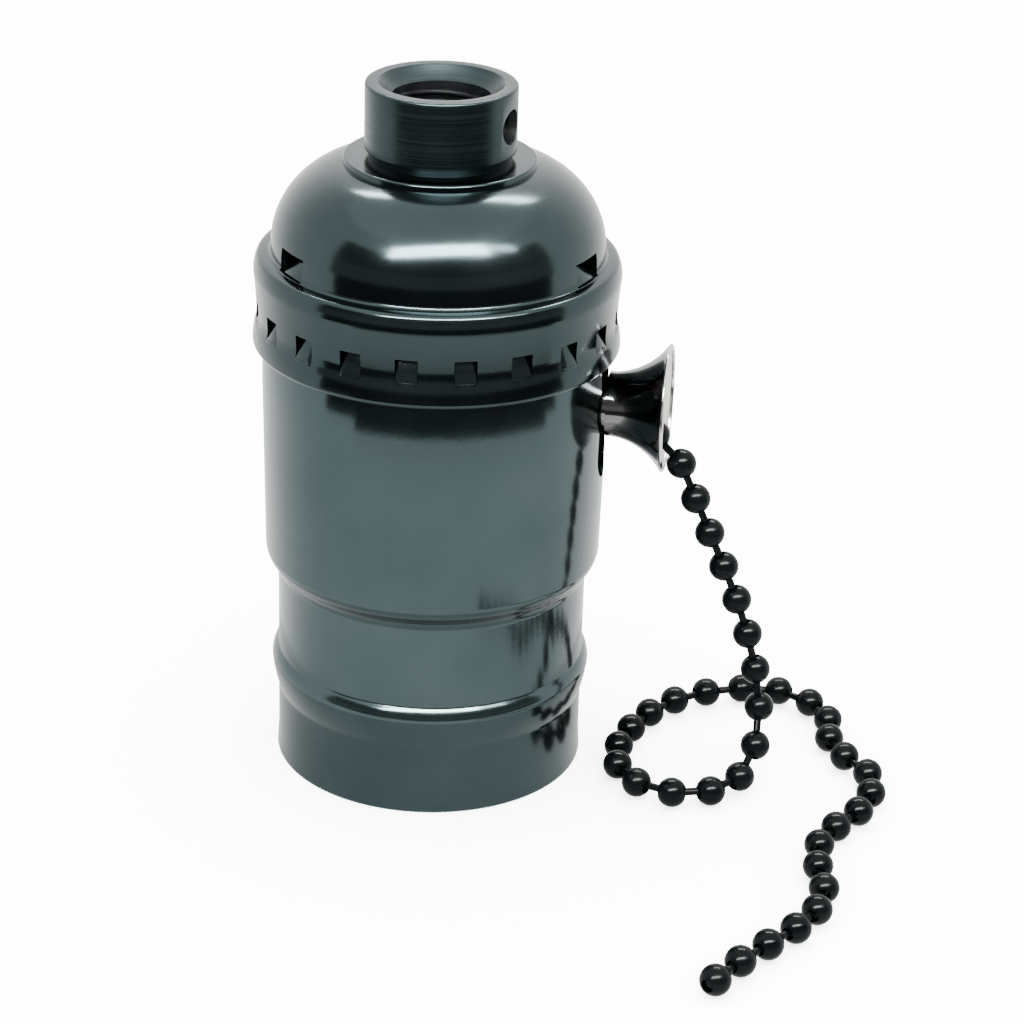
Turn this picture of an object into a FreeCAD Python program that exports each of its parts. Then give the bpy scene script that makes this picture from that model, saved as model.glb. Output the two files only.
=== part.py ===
import FreeCAD, Part
import Sketcher
import math
import os
import re

# Lamp socket with a pull chain: a pressed cap and shell around a moulded switch body.
# Millimetres. The origin is on the axis at the mouth, which the socket stands on.
# +Z runs up through the hub and +X runs out along the chain guide.

os.makedirs("parts", exist_ok=True)
doc = FreeCAD.newDocument("LampSocket")
sheet = doc.addObject("Spreadsheet::Sheet", "Sizes")

# Driving sizes

SIZES = {
    # lamp screw
    "screw_foot": 6.0,
    "screw_crest": 12.35,
    "screw_wall": 0.45,
    "thread_pitch": 3.629,
    "thread_turns": 4,
    "thread_round": 1.0,
    "thread_depth": 0.85,
    "thread_lead": 2.2,
    "thread_room": 2.484,
    "flange_lip": 1.2,
    # fibre insulation
    "fibre_gap": 0.3,
    "fibre_wall": 0.6,
    "screw_room": 1.4,
    "sleeve_foot": 2.6,
    "notch_play": 0.7,
    # outer shell, from the mouth up
    "shell_wall": 0.5,
    "mouth_flare": 0.15,
    "flare_height": 2.4,
    "bead_middle": 10.3,
    "bead_half": 3.0,
    "bead_rise": 0.7,
    "shoulder_drop": 0.5,
    "shoulder_length": 3.8,
    "shoulder_step": 1.35,
    "shell_draft": 0.3,
    "groove_depth": 0.95,
    "groove_play": 0.4,
    "shell_lip": 1.5,
    "slot_play": 0.3,
    "slot_reach": 8.1,
    # cap
    "cap_wall": 0.5,
    "cap_gap": 0.12,
    "skirt_clear": 1.5,
    "skirt_room": 0.35,
    "skirt_curl": 1.7,
    "waist_rise": 4.6,
    "waist_depth": 0.18,
    "bulge_drop": 3.7,
    "flange_drop": 1.8,
    "flange_width": 1.75,
    "flange_fillet": 1.0,
    "dome_clear": 1.0,
    "dome_drop": 1.3,
    "dome_curve": 8.8,
    "ledge_width": 2.1,
    "ledge_step": 0.73,
    # lanced tabs round the skirt and the three lugs in the dome
    "tab_count": 20,
    "tab_width": 2.3,
    "tab_rise": 3.7,
    "tab_height": 2.4,
    "tab_lean": 0.95,
    "lug_count": 3,
    "lug_turn": -20.0,
    "lug_width": 4.4,
    "lug_drop": 1.4,
    "lug_height": 2.7,
    "lug_lean": 1.4,
    # hub and set screw
    "hub_radius": 7.75,
    "hub_clear": 0.9,
    "hub_height": 6.8,
    "hub_edge": 0.3,
    "neck_step": 0.45,
    "spigot_step": 1.3,
    "spigot_flare": 0.9,
    "flare_thickness": 0.8,
    "liner_play": 0.5,
    "bore_radius": 4.5,
    "rim_land": 0.65,
    "sink_depth": 2.2,
    "set_screw_turn": -15,
    "set_screw_rise": 3.2,
    "set_screw_radius": 1.8,
    "set_screw_fit": 0.03,
    "set_screw_tip_room": 0.25,
    "set_screw_inset": 1.15,
    "set_screw_slot": 0.6,
    # moulded base, housing and cover
    "base_fit": 0.3,
    "base_lip": 0.5,
    "base_flange": 3.0,
    "base_height": 8.0,
    "well_room": 0.1,
    "well_depth": 2.0,
    "floor_thickness": 4.3,
    "cover_thickness": 2.0,
    "cavity_back_room": 2.5,
    "cavity_front_room": 1.0,
    "flat_wall": 2.4,
    "flat_room": 1.1,
    "flat_over": 2.0,
    # screws and rivets
    "post_wall": 0.65,
    "post_edge": 1.03,
    "screw_shank": 1.25,
    "screw_head": 2.4,
    "screw_head_height": 1.4,
    "screw_sink": 1.0,
    "post_floor": 2.4,
    "hole_fit": 0.05,
    "rivet_inset": 2.0,
    "rivet_shank": 0.9,
    "rivet_head": 1.6,
    "rivet_head_height": 0.5,
    # terminals and contacts
    "strap_thickness": 0.8,
    "strap_half": 3.2,
    "strap_over": 5.0,
    "strap_under": 1.1,
    "terminal_rise": 7.5,
    "terminal_shank": 1.6,
    "terminal_head": 3.1,
    "terminal_head_height": 1.7,
    "terminal_seat": 0.5,
    "leaf": 0.5,
    "rivet_room": 1.1,
    "contact_shank": 1.0,
    "contact_head": 1.7,
    "centre_half": 2.4,
    "centre_drop": 3.9,
    "leaf_over": 1.0,
    "leaf_spread": 1.7,
    # rotary switch
    "shaft_x": 2.0,
    "shaft_room": 1.6,
    "shaft_radius": 1.2,
    "shaft_seat": 1.5,
    "running_gap": 0.05,
    "axle_room": 0.6,
    "drum_radius": 3.6,
    "drum_end": 1.0,
    "drum_shoulder": -3.9,
    "drum_spigot": 2.2,
    "cross_radius": 5.3,
    "cross_half": 1.1,
    "cross_thickness": 0.8,
    "cross_room": 0.7,
    "contact_gap": 0.25,
    "tooth_count": 8,
    "tooth_tip": 5.0,
    "tooth_depth": 0.8,
    "tooth_turn": -102.2,
    "wheel_thickness": 1.2,
    # pull lever and its pawl and spring
    "lever_gap": 0.2,
    "lever_thickness": 1.0,
    "lever_eye": 2.6,
    "lever_half": 1.7,
    "fork_play": 0.4,
    "fork_tip": 0.506,
    "fork_half": 0.95,
    "pawl_bite": 0.35,
    "pawl_length": 1.75,
    "pawl_half": 0.5,
    "pawl_back": 0.15,
    "spring_radius": 1.95,
    "spring_wire": 0.2,
    "spring_pitch": 0.5,
    "spring_length": 2.0,
    # chain guide, bell and chain
    "ball_size": 3.2,
    "ball_pitch": 4.2,
    "link_radius": 0.45,
    "guide_play": 0.75,
    "guide_step_wall": 0.27,
    "guide_wall": 0.38,
    "guide_lip": 1.0,
    "guide_flange_thickness": 0.8,
    "bell_stand": 1.1,
    "bell_seat": 1.8,
    "bell_length": 5.0,
    "bell_radius": 6.75,
    "bell_curve": 6.2,
    "bell_wall": 0.35,
    "bell_rim": 0.3,
    "coupling_radius": 1.9,
    "coupling_back": 1.0,
    "coupling_length": 4.5,
    "pin_radius": 0.6,
    "pin_end": 4.0,
    "pull_travel": 8.0,
}

# Sizes that follow from the driving ones, with the clearance that each keeps

FOLLOWING = {
    # radii, from the lamp screw outwards
    "screw_outside": "screw_crest + thread_depth + screw_wall",
    "rim_radius": "screw_outside + screw_room + fibre_wall + fibre_gap + shell_wall",
    "upper_radius": "rim_radius + shoulder_step + shell_draft",
    "base_radius": "rim_radius + shoulder_step - shell_wall - fibre_gap - fibre_wall - base_fit",
    "housing_radius": "base_radius - base_lip",
    "skirt_radius": "upper_radius + cap_wall + skirt_room",
    "dome_centre_radius": "skirt_radius - flange_width - dome_curve",
    "neck_radius": "hub_radius - neck_step",
    "spigot_radius": "neck_radius - spigot_step",
    "sink_radius": "hub_radius - rim_land",
    "set_screw_tip": "bore_radius + set_screw_tip_room",
    "set_screw_head": "hub_radius - set_screw_inset",
    "ledge_radius": "neck_radius + ledge_width",
    "ledge_outer": "ledge_radius + 0.5",
    "liner_hole": "spigot_radius + spigot_flare + liner_play",
    "leaf_reach": "cross_radius + leaf_spread + leaf",
    "contact_x": "shaft_x - leaf_reach + rivet_room",
    "well_radius": "contact_head - contact_x + well_room",
    "flange_hole": "well_radius + flange_lip",
    "rivet_place": "flange_hole + rivet_inset",
    # heights, from the lamp screw up
    "thread_start": "screw_foot + thread_lead",
    "thread_length": "thread_turns * thread_pitch",
    "screw_top": "thread_start + thread_length + thread_room",
    "shoulder_top": "screw_top - shoulder_drop",
    "shoulder_foot": "shoulder_top - shoulder_length",
    "base_top": "screw_top + base_height",
    "screw_end": "screw_top + post_floor",
    "cavity_floor": "base_top + floor_thickness",
    "chain_height": "cavity_floor + guide_flange",
    "shaft_rise": "tooth_tip + coupling_radius + shaft_room",
    "shaft_height": "chain_height + shaft_rise",
    "housing_top": "shaft_height + cross_radius + cross_room",
    "leaf_top": "shaft_height + leaf_over",
    "terminal_height": "cavity_floor + terminal_rise",
    "strap_top": "terminal_height + strap_over",
    "strap_foot": "cavity_floor - strap_under",
    "flat_top": "strap_top + flat_over",
    "slot_width": "2 * (guide_radius + slot_play)",
    "slot_foot": "chain_height - slot_reach",
    "skirt_foot": "chain_height + guide_radius + skirt_clear",
    "sleeve_top": "skirt_foot - 1",
    "sleeve_notch": "2 * (guide_radius + notch_play)",
    "waist_height": "skirt_foot + waist_rise",
    "tab_foot": "skirt_foot + tab_rise",
    "tab_top": "tab_foot + tab_height",
    "groove_low": "tab_foot - 0.8",
    "groove_high": "tab_top + groove_play",
    "shell_top": "groove_high + shell_lip",
    "dome_foot": "housing_top + cover_thickness + dome_clear",
    "bulge_height": "dome_foot - bulge_drop",
    "flange_height": "dome_foot - flange_drop",
    "dome_centre_height": "dome_foot - dome_drop",
    "lug_foot": "dome_foot - lug_drop",
    "lug_top": "lug_foot + lug_height",
    "ledge_height": (
        "dome_centre_height + sqrt(dome_curve^2 - (ledge_outer - dome_centre_radius)^2) + ledge_step"
    ),
    "hub_foot": "ledge_height + hub_clear",
    "hub_top": "hub_foot + hub_height",
    "set_screw_height": "hub_foot + set_screw_rise",
    # the switch's cavity and what runs in it
    "cavity_back": "shaft_x - leaf_reach - cavity_back_room",
    "cavity_front": "shaft_x + leaf_reach + cavity_front_room",
    "spring_end": (
        "drum_end + wheel_thickness + lever_gap + lever_thickness + spring_length + 2 * spring_wire + 0.1"
    ),
    "cavity_half": "spring_end + axle_room",
    "drum_back": "-spring_end",
    "shaft_half": "cavity_half + shaft_seat",
    "flat_depth": "shaft_half + flat_wall",
    "flat_half": "strap_half + flat_room",
    "terminal_depth": "flat_depth - cavity_half - terminal_seat",
    "screw_y": "cavity_half + post_wall + screw_shank",
    "screw_x": "sqrt((housing_radius - screw_head - post_edge)^2 - screw_y^2)",
    "tooth_root": "tooth_tip - tooth_depth",
    "pawl_inner": "tooth_tip - pawl_bite",
    "pawl_outer": "pawl_inner + pawl_length",
    "fork_depth": "shaft_rise - pin_radius - fork_play",
    "lever_reach": "sqrt(shaft_rise^2 + (pull_travel / 2)^2) + pin_radius + fork_tip",
    # chain guide and bell
    "guide_bore": "ball_size / 2 + guide_play",
    "guide_spigot": "guide_bore + guide_step_wall",
    "guide_radius": "guide_spigot + guide_wall",
    "guide_flange": "guide_radius + guide_lip",
    "guide_step": "upper_radius + bell_stand",
    "guide_end": "guide_step + bell_seat",
    "bell_mouth": "guide_step + bell_length",
}

for row, (name, value) in enumerate(SIZES.items(), start=1):
    sheet.set("A%d" % row, name)
    sheet.set("B%d" % row, str(value))
    sheet.setAlias("B%d" % row, name)
doc.recompute()

pieces = []


def worked_out(words):
    """The words with each size that follows from others written out in driving sizes."""
    while True:
        wider = re.sub(
            r"[a-z][a-z_]+",
            lambda word: "(%s)" % FOLLOWING[word.group()] if word.group() in FOLLOWING else word.group(),
            words,
        )
        if wider == words:
            return words
        words = wider


def bound(words):
    """The words with each size name pointed at the sheet."""
    return re.sub(
        r"[a-z][a-z_]+",
        lambda word: "Sizes." + word.group() if word.group() in SIZES else word.group(),
        worked_out(words),
    )


def number(words):
    """What an expression of size names comes to."""
    return float(sheet.evalExpression(worked_out(words)))


def bind(thing, **settings):
    """Ties properties to expressions of size names."""
    for name, words in settings.items():
        thing.setExpression(name.replace("__", "."), bound(words))


def keep(thing, label):
    """Marks an object as a finished piece."""
    thing.Label = label
    pieces.append(thing)
    return thing


# Sketches and bodies


def new_body(label):
    return keep(doc.addObject("PartDesign::Body", label), label)


def new_sketch(body, role, turn="0"):
    """A sketch on one of the body's own planes, turned about the body's Z axis."""
    sketch = body.newObject("Sketcher::SketchObject", body.Name + "Sketch")
    plane = [item for item in body.Origin.OriginFeatures if item.Role == role][0]
    sketch.AttachmentSupport = [(plane, "")]
    sketch.MapMode = "FlatFace"
    sketch.AttachmentOffset = FreeCAD.Placement(
        FreeCAD.Vector(0, 0, 0), FreeCAD.Rotation(FreeCAD.Vector(0, 1, 0), number(turn))
    )
    return sketch


def fix_point(sketch, edge, end, across, up):
    """Ties one end of an edge to the axes, or to distances from them."""
    for kind, words, axis in (("DistanceX", across, -2), ("DistanceY", up, -1)):
        if words == "0":
            sketch.addConstraint(Sketcher.Constraint("PointOnObject", edge, end, axis))
        else:
            index = sketch.addConstraint(Sketcher.Constraint(kind, -1, 1, edge, end, number(words)))
            sketch.setExpression("Constraints[%d]" % index, bound(words))


def draw(sketch, corners):
    """A closed outline. A corner is (across, up), or (across, up, radius) for an arc that ends there.

    A radius written with a leading minus turns clockwise.
    """
    places = [(number(corner[0]), number(corner[1])) for corner in corners]
    ends = []
    for index, corner in enumerate(corners):
        start = FreeCAD.Vector(*places[index - 1], 0)
        finish = FreeCAD.Vector(*places[index], 0)
        if len(corner) == 2:
            edge = sketch.addGeometry(Part.LineSegment(start, finish), False)
            ends.append((edge, 1, 2))
            continue
        clockwise = corner[2].startswith("-")
        radius = number(corner[2].lstrip("-"))
        chord = finish - start
        side = FreeCAD.Vector(-chord.y, chord.x, 0).normalize()
        if clockwise:
            side = side * -1
        centre = (start + finish) * 0.5 + side * math.sqrt(max(radius**2 - chord.Length**2 / 4, 0))
        first, second = (finish, start) if clockwise else (start, finish)
        angles = [math.atan2(point.y - centre.y, point.x - centre.x) for point in (first, second)]
        circle = Part.Circle(centre, FreeCAD.Vector(0, 0, 1), radius)
        edge = sketch.addGeometry(Part.ArcOfCircle(circle, angles[0], angles[1]), False)
        ends.append((edge, 2, 1) if clockwise else (edge, 1, 2))
        index = sketch.addConstraint(Sketcher.Constraint("Radius", edge, radius))
        sketch.setExpression("Constraints[%d]" % index, bound(corner[2].lstrip("-")))
    for index, corner in enumerate(corners):
        edge, _, end = ends[index]
        following, begin, _ = ends[(index + 1) % len(ends)]
        sketch.addConstraint(Sketcher.Constraint("Coincident", edge, end, following, begin))
        fix_point(sketch, edge, end, corner[0], corner[1])


def draw_circle(sketch, across, up, radius):
    centre = FreeCAD.Vector(number(across), number(up), 0)
    edge = sketch.addGeometry(Part.Circle(centre, FreeCAD.Vector(0, 0, 1), number(radius)), False)
    index = sketch.addConstraint(Sketcher.Constraint("Radius", edge, number(radius)))
    sketch.setExpression("Constraints[%d]" % index, bound(radius))
    fix_point(sketch, edge, 3, across, up)


def turn_solid(body, corners, axis="V_Axis"):
    """A revolved solid from an outline in the XZ plane."""
    sketch = new_sketch(body, "XZ_Plane")
    draw(sketch, corners)
    solid = body.newObject("PartDesign::Revolution", body.Name + "Turn")
    solid.Profile = sketch
    solid.ReferenceAxis = (sketch, [axis])
    solid.Angle = 360
    sketch.Visibility = False
    return solid


def pad(body, sketch, length, both_ways=False, back=False, cut=False):
    kind = "PartDesign::Pocket" if cut else "PartDesign::Pad"
    feature = body.newObject(kind, body.Name + ("Cut" if cut else "Pad"))
    feature.Profile = sketch
    feature.Type = 0
    feature.Midplane = both_ways
    feature.Reversed = back
    bind(feature, Length=length)
    return feature


def pattern(body, feature, count):
    """Repeats a feature round the body's Z axis."""
    ring = body.newObject("PartDesign::PolarPattern", body.Name + "Ring")
    ring.Originals = [feature]
    axis = [item for item in body.Origin.OriginFeatures if item.Role == "Z_Axis"][0]
    ring.Axis = (axis, [""])
    ring.Angle = 360
    bind(ring, Occurrences=count)
    body.Tip = ring
    return ring


# Primitives and booleans


def block(low, high):
    """A box between two corners of size expressions."""
    box = doc.addObject("Part::Box", "Block")
    bind(
        box,
        Length="(%s) - (%s)" % (high[0], low[0]),
        Width="(%s) - (%s)" % (high[1], low[1]),
        Height="(%s) - (%s)" % (high[2], low[2]),
        Placement__Base__x=low[0],
        Placement__Base__y=low[1],
        Placement__Base__z=low[2],
    )
    return box


def rod(radius, length, place, along="Z"):
    """A cylinder from a place, along +X, +Y or +Z."""
    rod_turns = {"X": ((0, 1, 0), 90), "Y": ((1, 0, 0), -90), "Z": ((0, 0, 1), 0)}
    cylinder = doc.addObject("Part::Cylinder", "Rod")
    axis, angle = rod_turns[along]
    turn = FreeCAD.Rotation(FreeCAD.Vector(*axis), angle)
    cylinder.Placement = FreeCAD.Placement(FreeCAD.Vector(0, 0, 0), turn)
    bind(
        cylinder,
        Radius=radius,
        Height=length,
        Placement__Base__x=place[0],
        Placement__Base__y=place[1],
        Placement__Base__z=place[2],
    )
    return cylinder


def fused(*things):
    joined = doc.addObject("Part::MultiFuse", "Joined")
    joined.Shapes = list(things)
    return joined


def cut(base, *tools):
    result = doc.addObject("Part::Cut", "Cut")
    result.Base = base
    result.Tool = tools[0] if len(tools) == 1 else fused(*tools)
    return result


# Outer shell: a drawn tube with a bead, a shoulder and a groove that the cap's tabs catch in


def outer_shell():
    body = new_body("outer_shell")
    low = "upper_radius - shell_draft"
    shoulder_middle = "(shoulder_foot + shoulder_top) / 2"
    middle_radius = "(rim_radius + upper_radius - shell_draft) / 2"
    bead_curve = "(bead_half^2 + bead_rise^2) / (2 * bead_rise)"
    turn_solid(
        body,
        [
            ("rim_radius + mouth_flare - shell_wall", "0"),
            ("rim_radius + mouth_flare", "0"),
            ("rim_radius", "flare_height"),
            ("rim_radius", "bead_middle - bead_half"),
            ("rim_radius", "bead_middle + bead_half", bead_curve),
            ("rim_radius", "shoulder_foot"),
            (middle_radius, shoulder_middle, "-3.2"),
            (low, "shoulder_top", "3.2"),
            ("upper_radius", "groove_low"),
            ("upper_radius - groove_depth", "groove_low + groove_depth"),
            ("upper_radius - groove_depth", "groove_high - groove_depth / 2"),
            ("upper_radius - 0.05", "groove_high + 0.1"),
            ("upper_radius - 0.05", "shell_top"),
            ("upper_radius - shell_wall", "shell_top"),
            ("upper_radius - shell_wall", "groove_high + shell_wall"),
            ("upper_radius - groove_depth - shell_wall", "groove_high - groove_depth / 2 + shell_wall / 2"),
            ("upper_radius - groove_depth - shell_wall", "groove_low + groove_depth - shell_wall / 2"),
            ("upper_radius - shell_wall", "groove_low - shell_wall / 2"),
            (low + " - shell_wall", "shoulder_top"),
            (middle_radius + " - shell_wall", shoulder_middle, "-3.2"),
            ("rim_radius - shell_wall", "shoulder_foot", "3.2"),
            ("rim_radius - shell_wall", "bead_middle + bead_half"),
            ("rim_radius - shell_wall", "bead_middle - bead_half", "-(%s)" % bead_curve),
            ("rim_radius - shell_wall", "flare_height"),
        ],
    )
    # the slot that lets the shell slide up past the chain guide
    sketch = new_sketch(body, "YZ_Plane")
    draw(
        sketch,
        [
            ("slot_width / 2", "shell_top + 1"),
            ("-slot_width / 2", "shell_top + 1"),
            ("-slot_width / 2", "slot_foot + slot_width / 2"),
            ("0", "slot_foot", "slot_width / 2"),
            ("slot_width / 2", "slot_foot + slot_width / 2", "slot_width / 2"),
        ],
    )
    pad(body, sketch, "upper_radius + 2", back=True, cut=True)


# Cap: the dome, its skirt with lanced tabs, and three lugs


def dome_height(radius, inset="0"):
    """How high the dome's arc stands at a radius, for a surface inside it by an inset."""
    return "dome_centre_height + sqrt((dome_curve - %s)^2 - (%s - dome_centre_radius)^2)" % (inset, radius)


def dome_radius(height, inset="0"):
    return "dome_centre_radius + sqrt((dome_curve - %s)^2 - (%s - dome_centre_height)^2)" % (inset, height)


def lanced(body, foot, top, width, lean, count, face, turn="0"):
    """Windows with a tab left in each, hinged at its foot and pressed inwards, repeated round the body."""
    opening = new_sketch(body, "XZ_Plane", turn)
    draw(
        opening,
        [
            ("%s - 2" % face, foot),
            ("%s + 2" % face, foot),
            ("%s + 2" % face, top),
            ("%s - 2" % face, top),
        ],
    )
    pattern(body, pad(body, opening, width, both_ways=True, cut=True), count)
    tab = new_sketch(body, "XZ_Plane", turn)
    draw(
        tab,
        [
            ("%s - cap_wall" % face, "%s - 0.3" % foot),
            ("%s - 0.05" % face, "%s - 0.3" % foot),
            ("%s - 0.05" % face, foot),
            ("%s - %s" % (face, lean), "%s - 0.1" % top),
            ("%s - %s - cap_wall" % (face, lean), "%s - 0.1" % top),
            ("%s - cap_wall" % face, foot),
        ],
    )
    pattern(body, pad(body, tab, "%s - 0.2" % width, both_ways=True), count)


def cap():
    body = new_body("cap")
    waist = "skirt_radius - waist_depth"
    lip = "upper_radius + cap_gap"
    hole = "spigot_radius + hole_fit"
    turn_solid(
        body,
        [
            (lip, "skirt_foot"),
            (lip + " + 0.25", "skirt_foot"),
            ("skirt_radius", "skirt_foot + skirt_curl", "2.6"),
            (waist, "waist_height", "18"),
            ("skirt_radius", "bulge_height", "-40"),
            ("skirt_radius - 0.6", "flange_height", "2.4"),
            (dome_radius("dome_foot") + " + flange_fillet * 0.4", "flange_height + flange_fillet * 0.3"),
            (dome_radius("dome_foot"), "dome_foot", "-1.8"),
            ("ledge_outer", dome_height("ledge_outer"), "dome_curve"),
            ("ledge_radius", "ledge_height"),
            (hole, "ledge_height"),
            (hole, "ledge_height - cap_wall"),
            ("ledge_radius - 0.3", "ledge_height - cap_wall"),
            ("ledge_outer", dome_height("ledge_outer", "cap_wall")),
            (dome_radius("dome_foot", "cap_wall"), "dome_foot", "-(dome_curve - cap_wall)"),
            (dome_radius("dome_foot", "cap_wall"), "flange_height - cap_wall * 0.6"),
            ("skirt_radius - 1.1", "flange_height - cap_wall"),
            ("skirt_radius - cap_wall", "bulge_height", "-1.9"),
            (waist + " - cap_wall", "waist_height", "40.5"),
            ("skirt_radius - cap_wall", "skirt_foot + skirt_curl + 0.4", "-17.5"),
        ],
    )
    skirt_face = "(skirt_radius - waist_depth)"
    lanced(body, "tab_foot", "tab_top", "tab_width", "tab_lean", "tab_count", skirt_face)
    dome_face = "(%s)" % dome_radius("lug_foot")
    lanced(body, "lug_foot", "lug_top", "lug_width", "lug_lean", "lug_count", dome_face, "lug_turn")


# Hub: the threaded collar riveted into the cap, with its set screw


def hub():
    barrel = doc.addObject("PartDesign::Body", "hub_barrel")
    under = "ledge_height - cap_wall"
    turn_solid(
        barrel,
        [
            ("bore_radius", under + " - flare_thickness"),
            ("spigot_radius + spigot_flare", under + " - flare_thickness"),
            ("spigot_radius + spigot_flare", under),
            ("spigot_radius", under),
            ("spigot_radius", "ledge_height"),
            ("neck_radius", "ledge_height"),
            ("neck_radius", "hub_foot"),
            ("hub_radius", "hub_foot + hub_edge"),
            ("hub_radius", "hub_top - hub_edge"),
            ("hub_radius - hub_edge", "hub_top"),
            ("sink_radius", "hub_top"),
            ("bore_radius", "hub_top - sink_depth"),
        ],
    )
    hole = rod("set_screw_radius", "hub_radius + 2", ("0", "0", "set_screw_height"), along="X")
    hole.Placement = FreeCAD.Placement(
        FreeCAD.Vector(0, 0, number("set_screw_height")),
        FreeCAD.Rotation(FreeCAD.Vector(0, 0, 1), number("set_screw_turn")).multiply(
            FreeCAD.Rotation(FreeCAD.Vector(0, 1, 0), 90)
        ),
    )
    keep(cut(barrel, hole), "hub")


def set_screw():
    length = "(set_screw_head - set_screw_tip)"
    shank = rod("set_screw_radius - set_screw_fit", length, ("set_screw_tip", "0", "0"), along="X")
    slot = block(
        ("set_screw_head - %s / 3" % length, "-set_screw_slot / 2", "-set_screw_radius - 1"),
        ("set_screw_head + 1", "set_screw_slot / 2", "set_screw_radius + 1"),
    )
    screw = cut(shank, slot)
    screw.Placement = FreeCAD.Placement(
        FreeCAD.Vector(0, 0, number("set_screw_height")),
        FreeCAD.Rotation(FreeCAD.Vector(0, 0, 1), number("set_screw_turn")),
    )
    keep(screw, "set_screw")


# Fibre sleeve inside the shell and fibre liner inside the cap


def insulating_sleeve():
    body = new_body("insulating_sleeve")
    low = "(rim_radius - shell_wall - fibre_gap)"
    high = "(upper_radius - shell_draft - shell_wall - fibre_gap)"
    foot = "shoulder_foot + fibre_gap + 0.2"
    top = "shoulder_top + fibre_gap + 0.2"
    turn_solid(
        body,
        [
            (low + " - fibre_wall", "sleeve_foot"),
            (low, "sleeve_foot"),
            (low, foot),
            (high, top),
            (high, "sleeve_top"),
            (high + " - fibre_wall", "sleeve_top"),
            (high + " - fibre_wall", top + " + 0.2"),
            (low + " - fibre_wall", foot + " + 0.2"),
        ],
    )
    sketch = new_sketch(body, "YZ_Plane")
    draw(
        sketch,
        [
            ("sleeve_notch / 2", "sleeve_top + 1"),
            ("-sleeve_notch / 2", "sleeve_top + 1"),
            ("-sleeve_notch / 2", "chain_height - sleeve_notch / 2"),
            ("sleeve_notch / 2", "chain_height - sleeve_notch / 2"),
        ],
    )
    pad(body, sketch, "upper_radius", back=True, cut=True)


def cap_liner():
    body = new_body("cap_liner")
    outside = "(cap_wall + fibre_gap)"
    inside = "(cap_wall + fibre_gap + fibre_wall)"
    foot = "lug_top + 0.3"
    turn_solid(
        body,
        [
            ("liner_hole", dome_height("liner_hole", inside)),
            (dome_radius(foot, inside), foot, "-(dome_curve - %s)" % inside),
            (dome_radius(foot, outside), foot),
            ("liner_hole", dome_height("liner_hole", outside), "dome_curve - %s" % outside),
        ],
    )


# Lamp screw: a thin tube with a rolled thread, flanged in at the top


def thread_groove(centre, start):
    """A round groove that winds up from a height, its section centred at a radius."""
    helix = doc.addObject("Part::Helix", "ThreadPath")
    bind(
        helix,
        Pitch="thread_pitch",
        Height="thread_start + thread_length - (%s)" % start,
        Radius=centre,
        Placement__Base__z=start,
    )
    section = doc.addObject("Part::Circle", "ThreadSection")
    upright = FreeCAD.Rotation(FreeCAD.Vector(1, 0, 0), 90)
    section.Placement = FreeCAD.Placement(FreeCAD.Vector(0, 0, 0), upright)
    bind(section, Radius="thread_round", Placement__Base__x=centre, Placement__Base__z=start)
    groove = doc.addObject("Part::Sweep", "ThreadGroove")
    groove.Sections = [section]
    groove.Spine = (helix, [])
    groove.Solid = True
    groove.Frenet = True
    return groove


def screw_shell():
    tube = doc.addObject("PartDesign::Body", "screw_tube")
    turn_solid(
        tube,
        [
            ("screw_crest", "screw_foot"),
            ("screw_outside", "screw_foot"),
            ("screw_outside", "screw_top"),
            ("flange_hole", "screw_top"),
            ("flange_hole", "screw_top - screw_wall"),
            ("screw_crest", "screw_top - screw_wall"),
        ],
    )
    inner = thread_groove("screw_crest + thread_depth - thread_round", "thread_start")
    outer = thread_groove("screw_outside - thread_depth + thread_round", "thread_start + thread_pitch / 2")
    holes = [
        rod("rivet_shank + hole_fit", "2", ("0", side + "rivet_place", "screw_top - screw_wall - 1"))
        for side in ("", "-")
    ]
    keep(cut(cut(cut(tube, inner), outer), *holes), "screw_shell")


# Moulded base, switch housing and cover


def post_holes(radius, low, high):
    """Two rods on the line of the long assembly screws."""
    return [
        rod(radius, "(%s) - (%s)" % (high, low), (x, y, low))
        for x, y in (("-screw_x", "screw_y"), ("screw_x", "-screw_y"))
    ]


def socket_base():
    disc = rod("base_radius", "base_flange", ("0", "0", "screw_top"))
    drum = rod("housing_radius", "base_top - screw_top", ("0", "0", "screw_top"))
    well = rod("well_radius", "well_depth", ("0", "0", "screw_top"))
    contact_hole = rod("contact_shank + hole_fit", "base_top - screw_top", ("contact_x", "0", "screw_top"))
    rivet_holes = []
    for side in ("", "-"):
        y = side + "rivet_place"
        rivet_holes.append(rod("rivet_shank + hole_fit", "base_top - screw_top", ("0", y, "screw_top")))
        rivet_holes.append(
            rod("rivet_head + hole_fit", "rivet_head_height", ("0", y, "base_top - rivet_head_height"))
        )
    posts = post_holes("screw_shank + hole_fit", "screw_end - 0.4", "base_top")
    keep(cut(fused(disc, drum), well, contact_hole, *rivet_holes, *posts), "socket_base")


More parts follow.
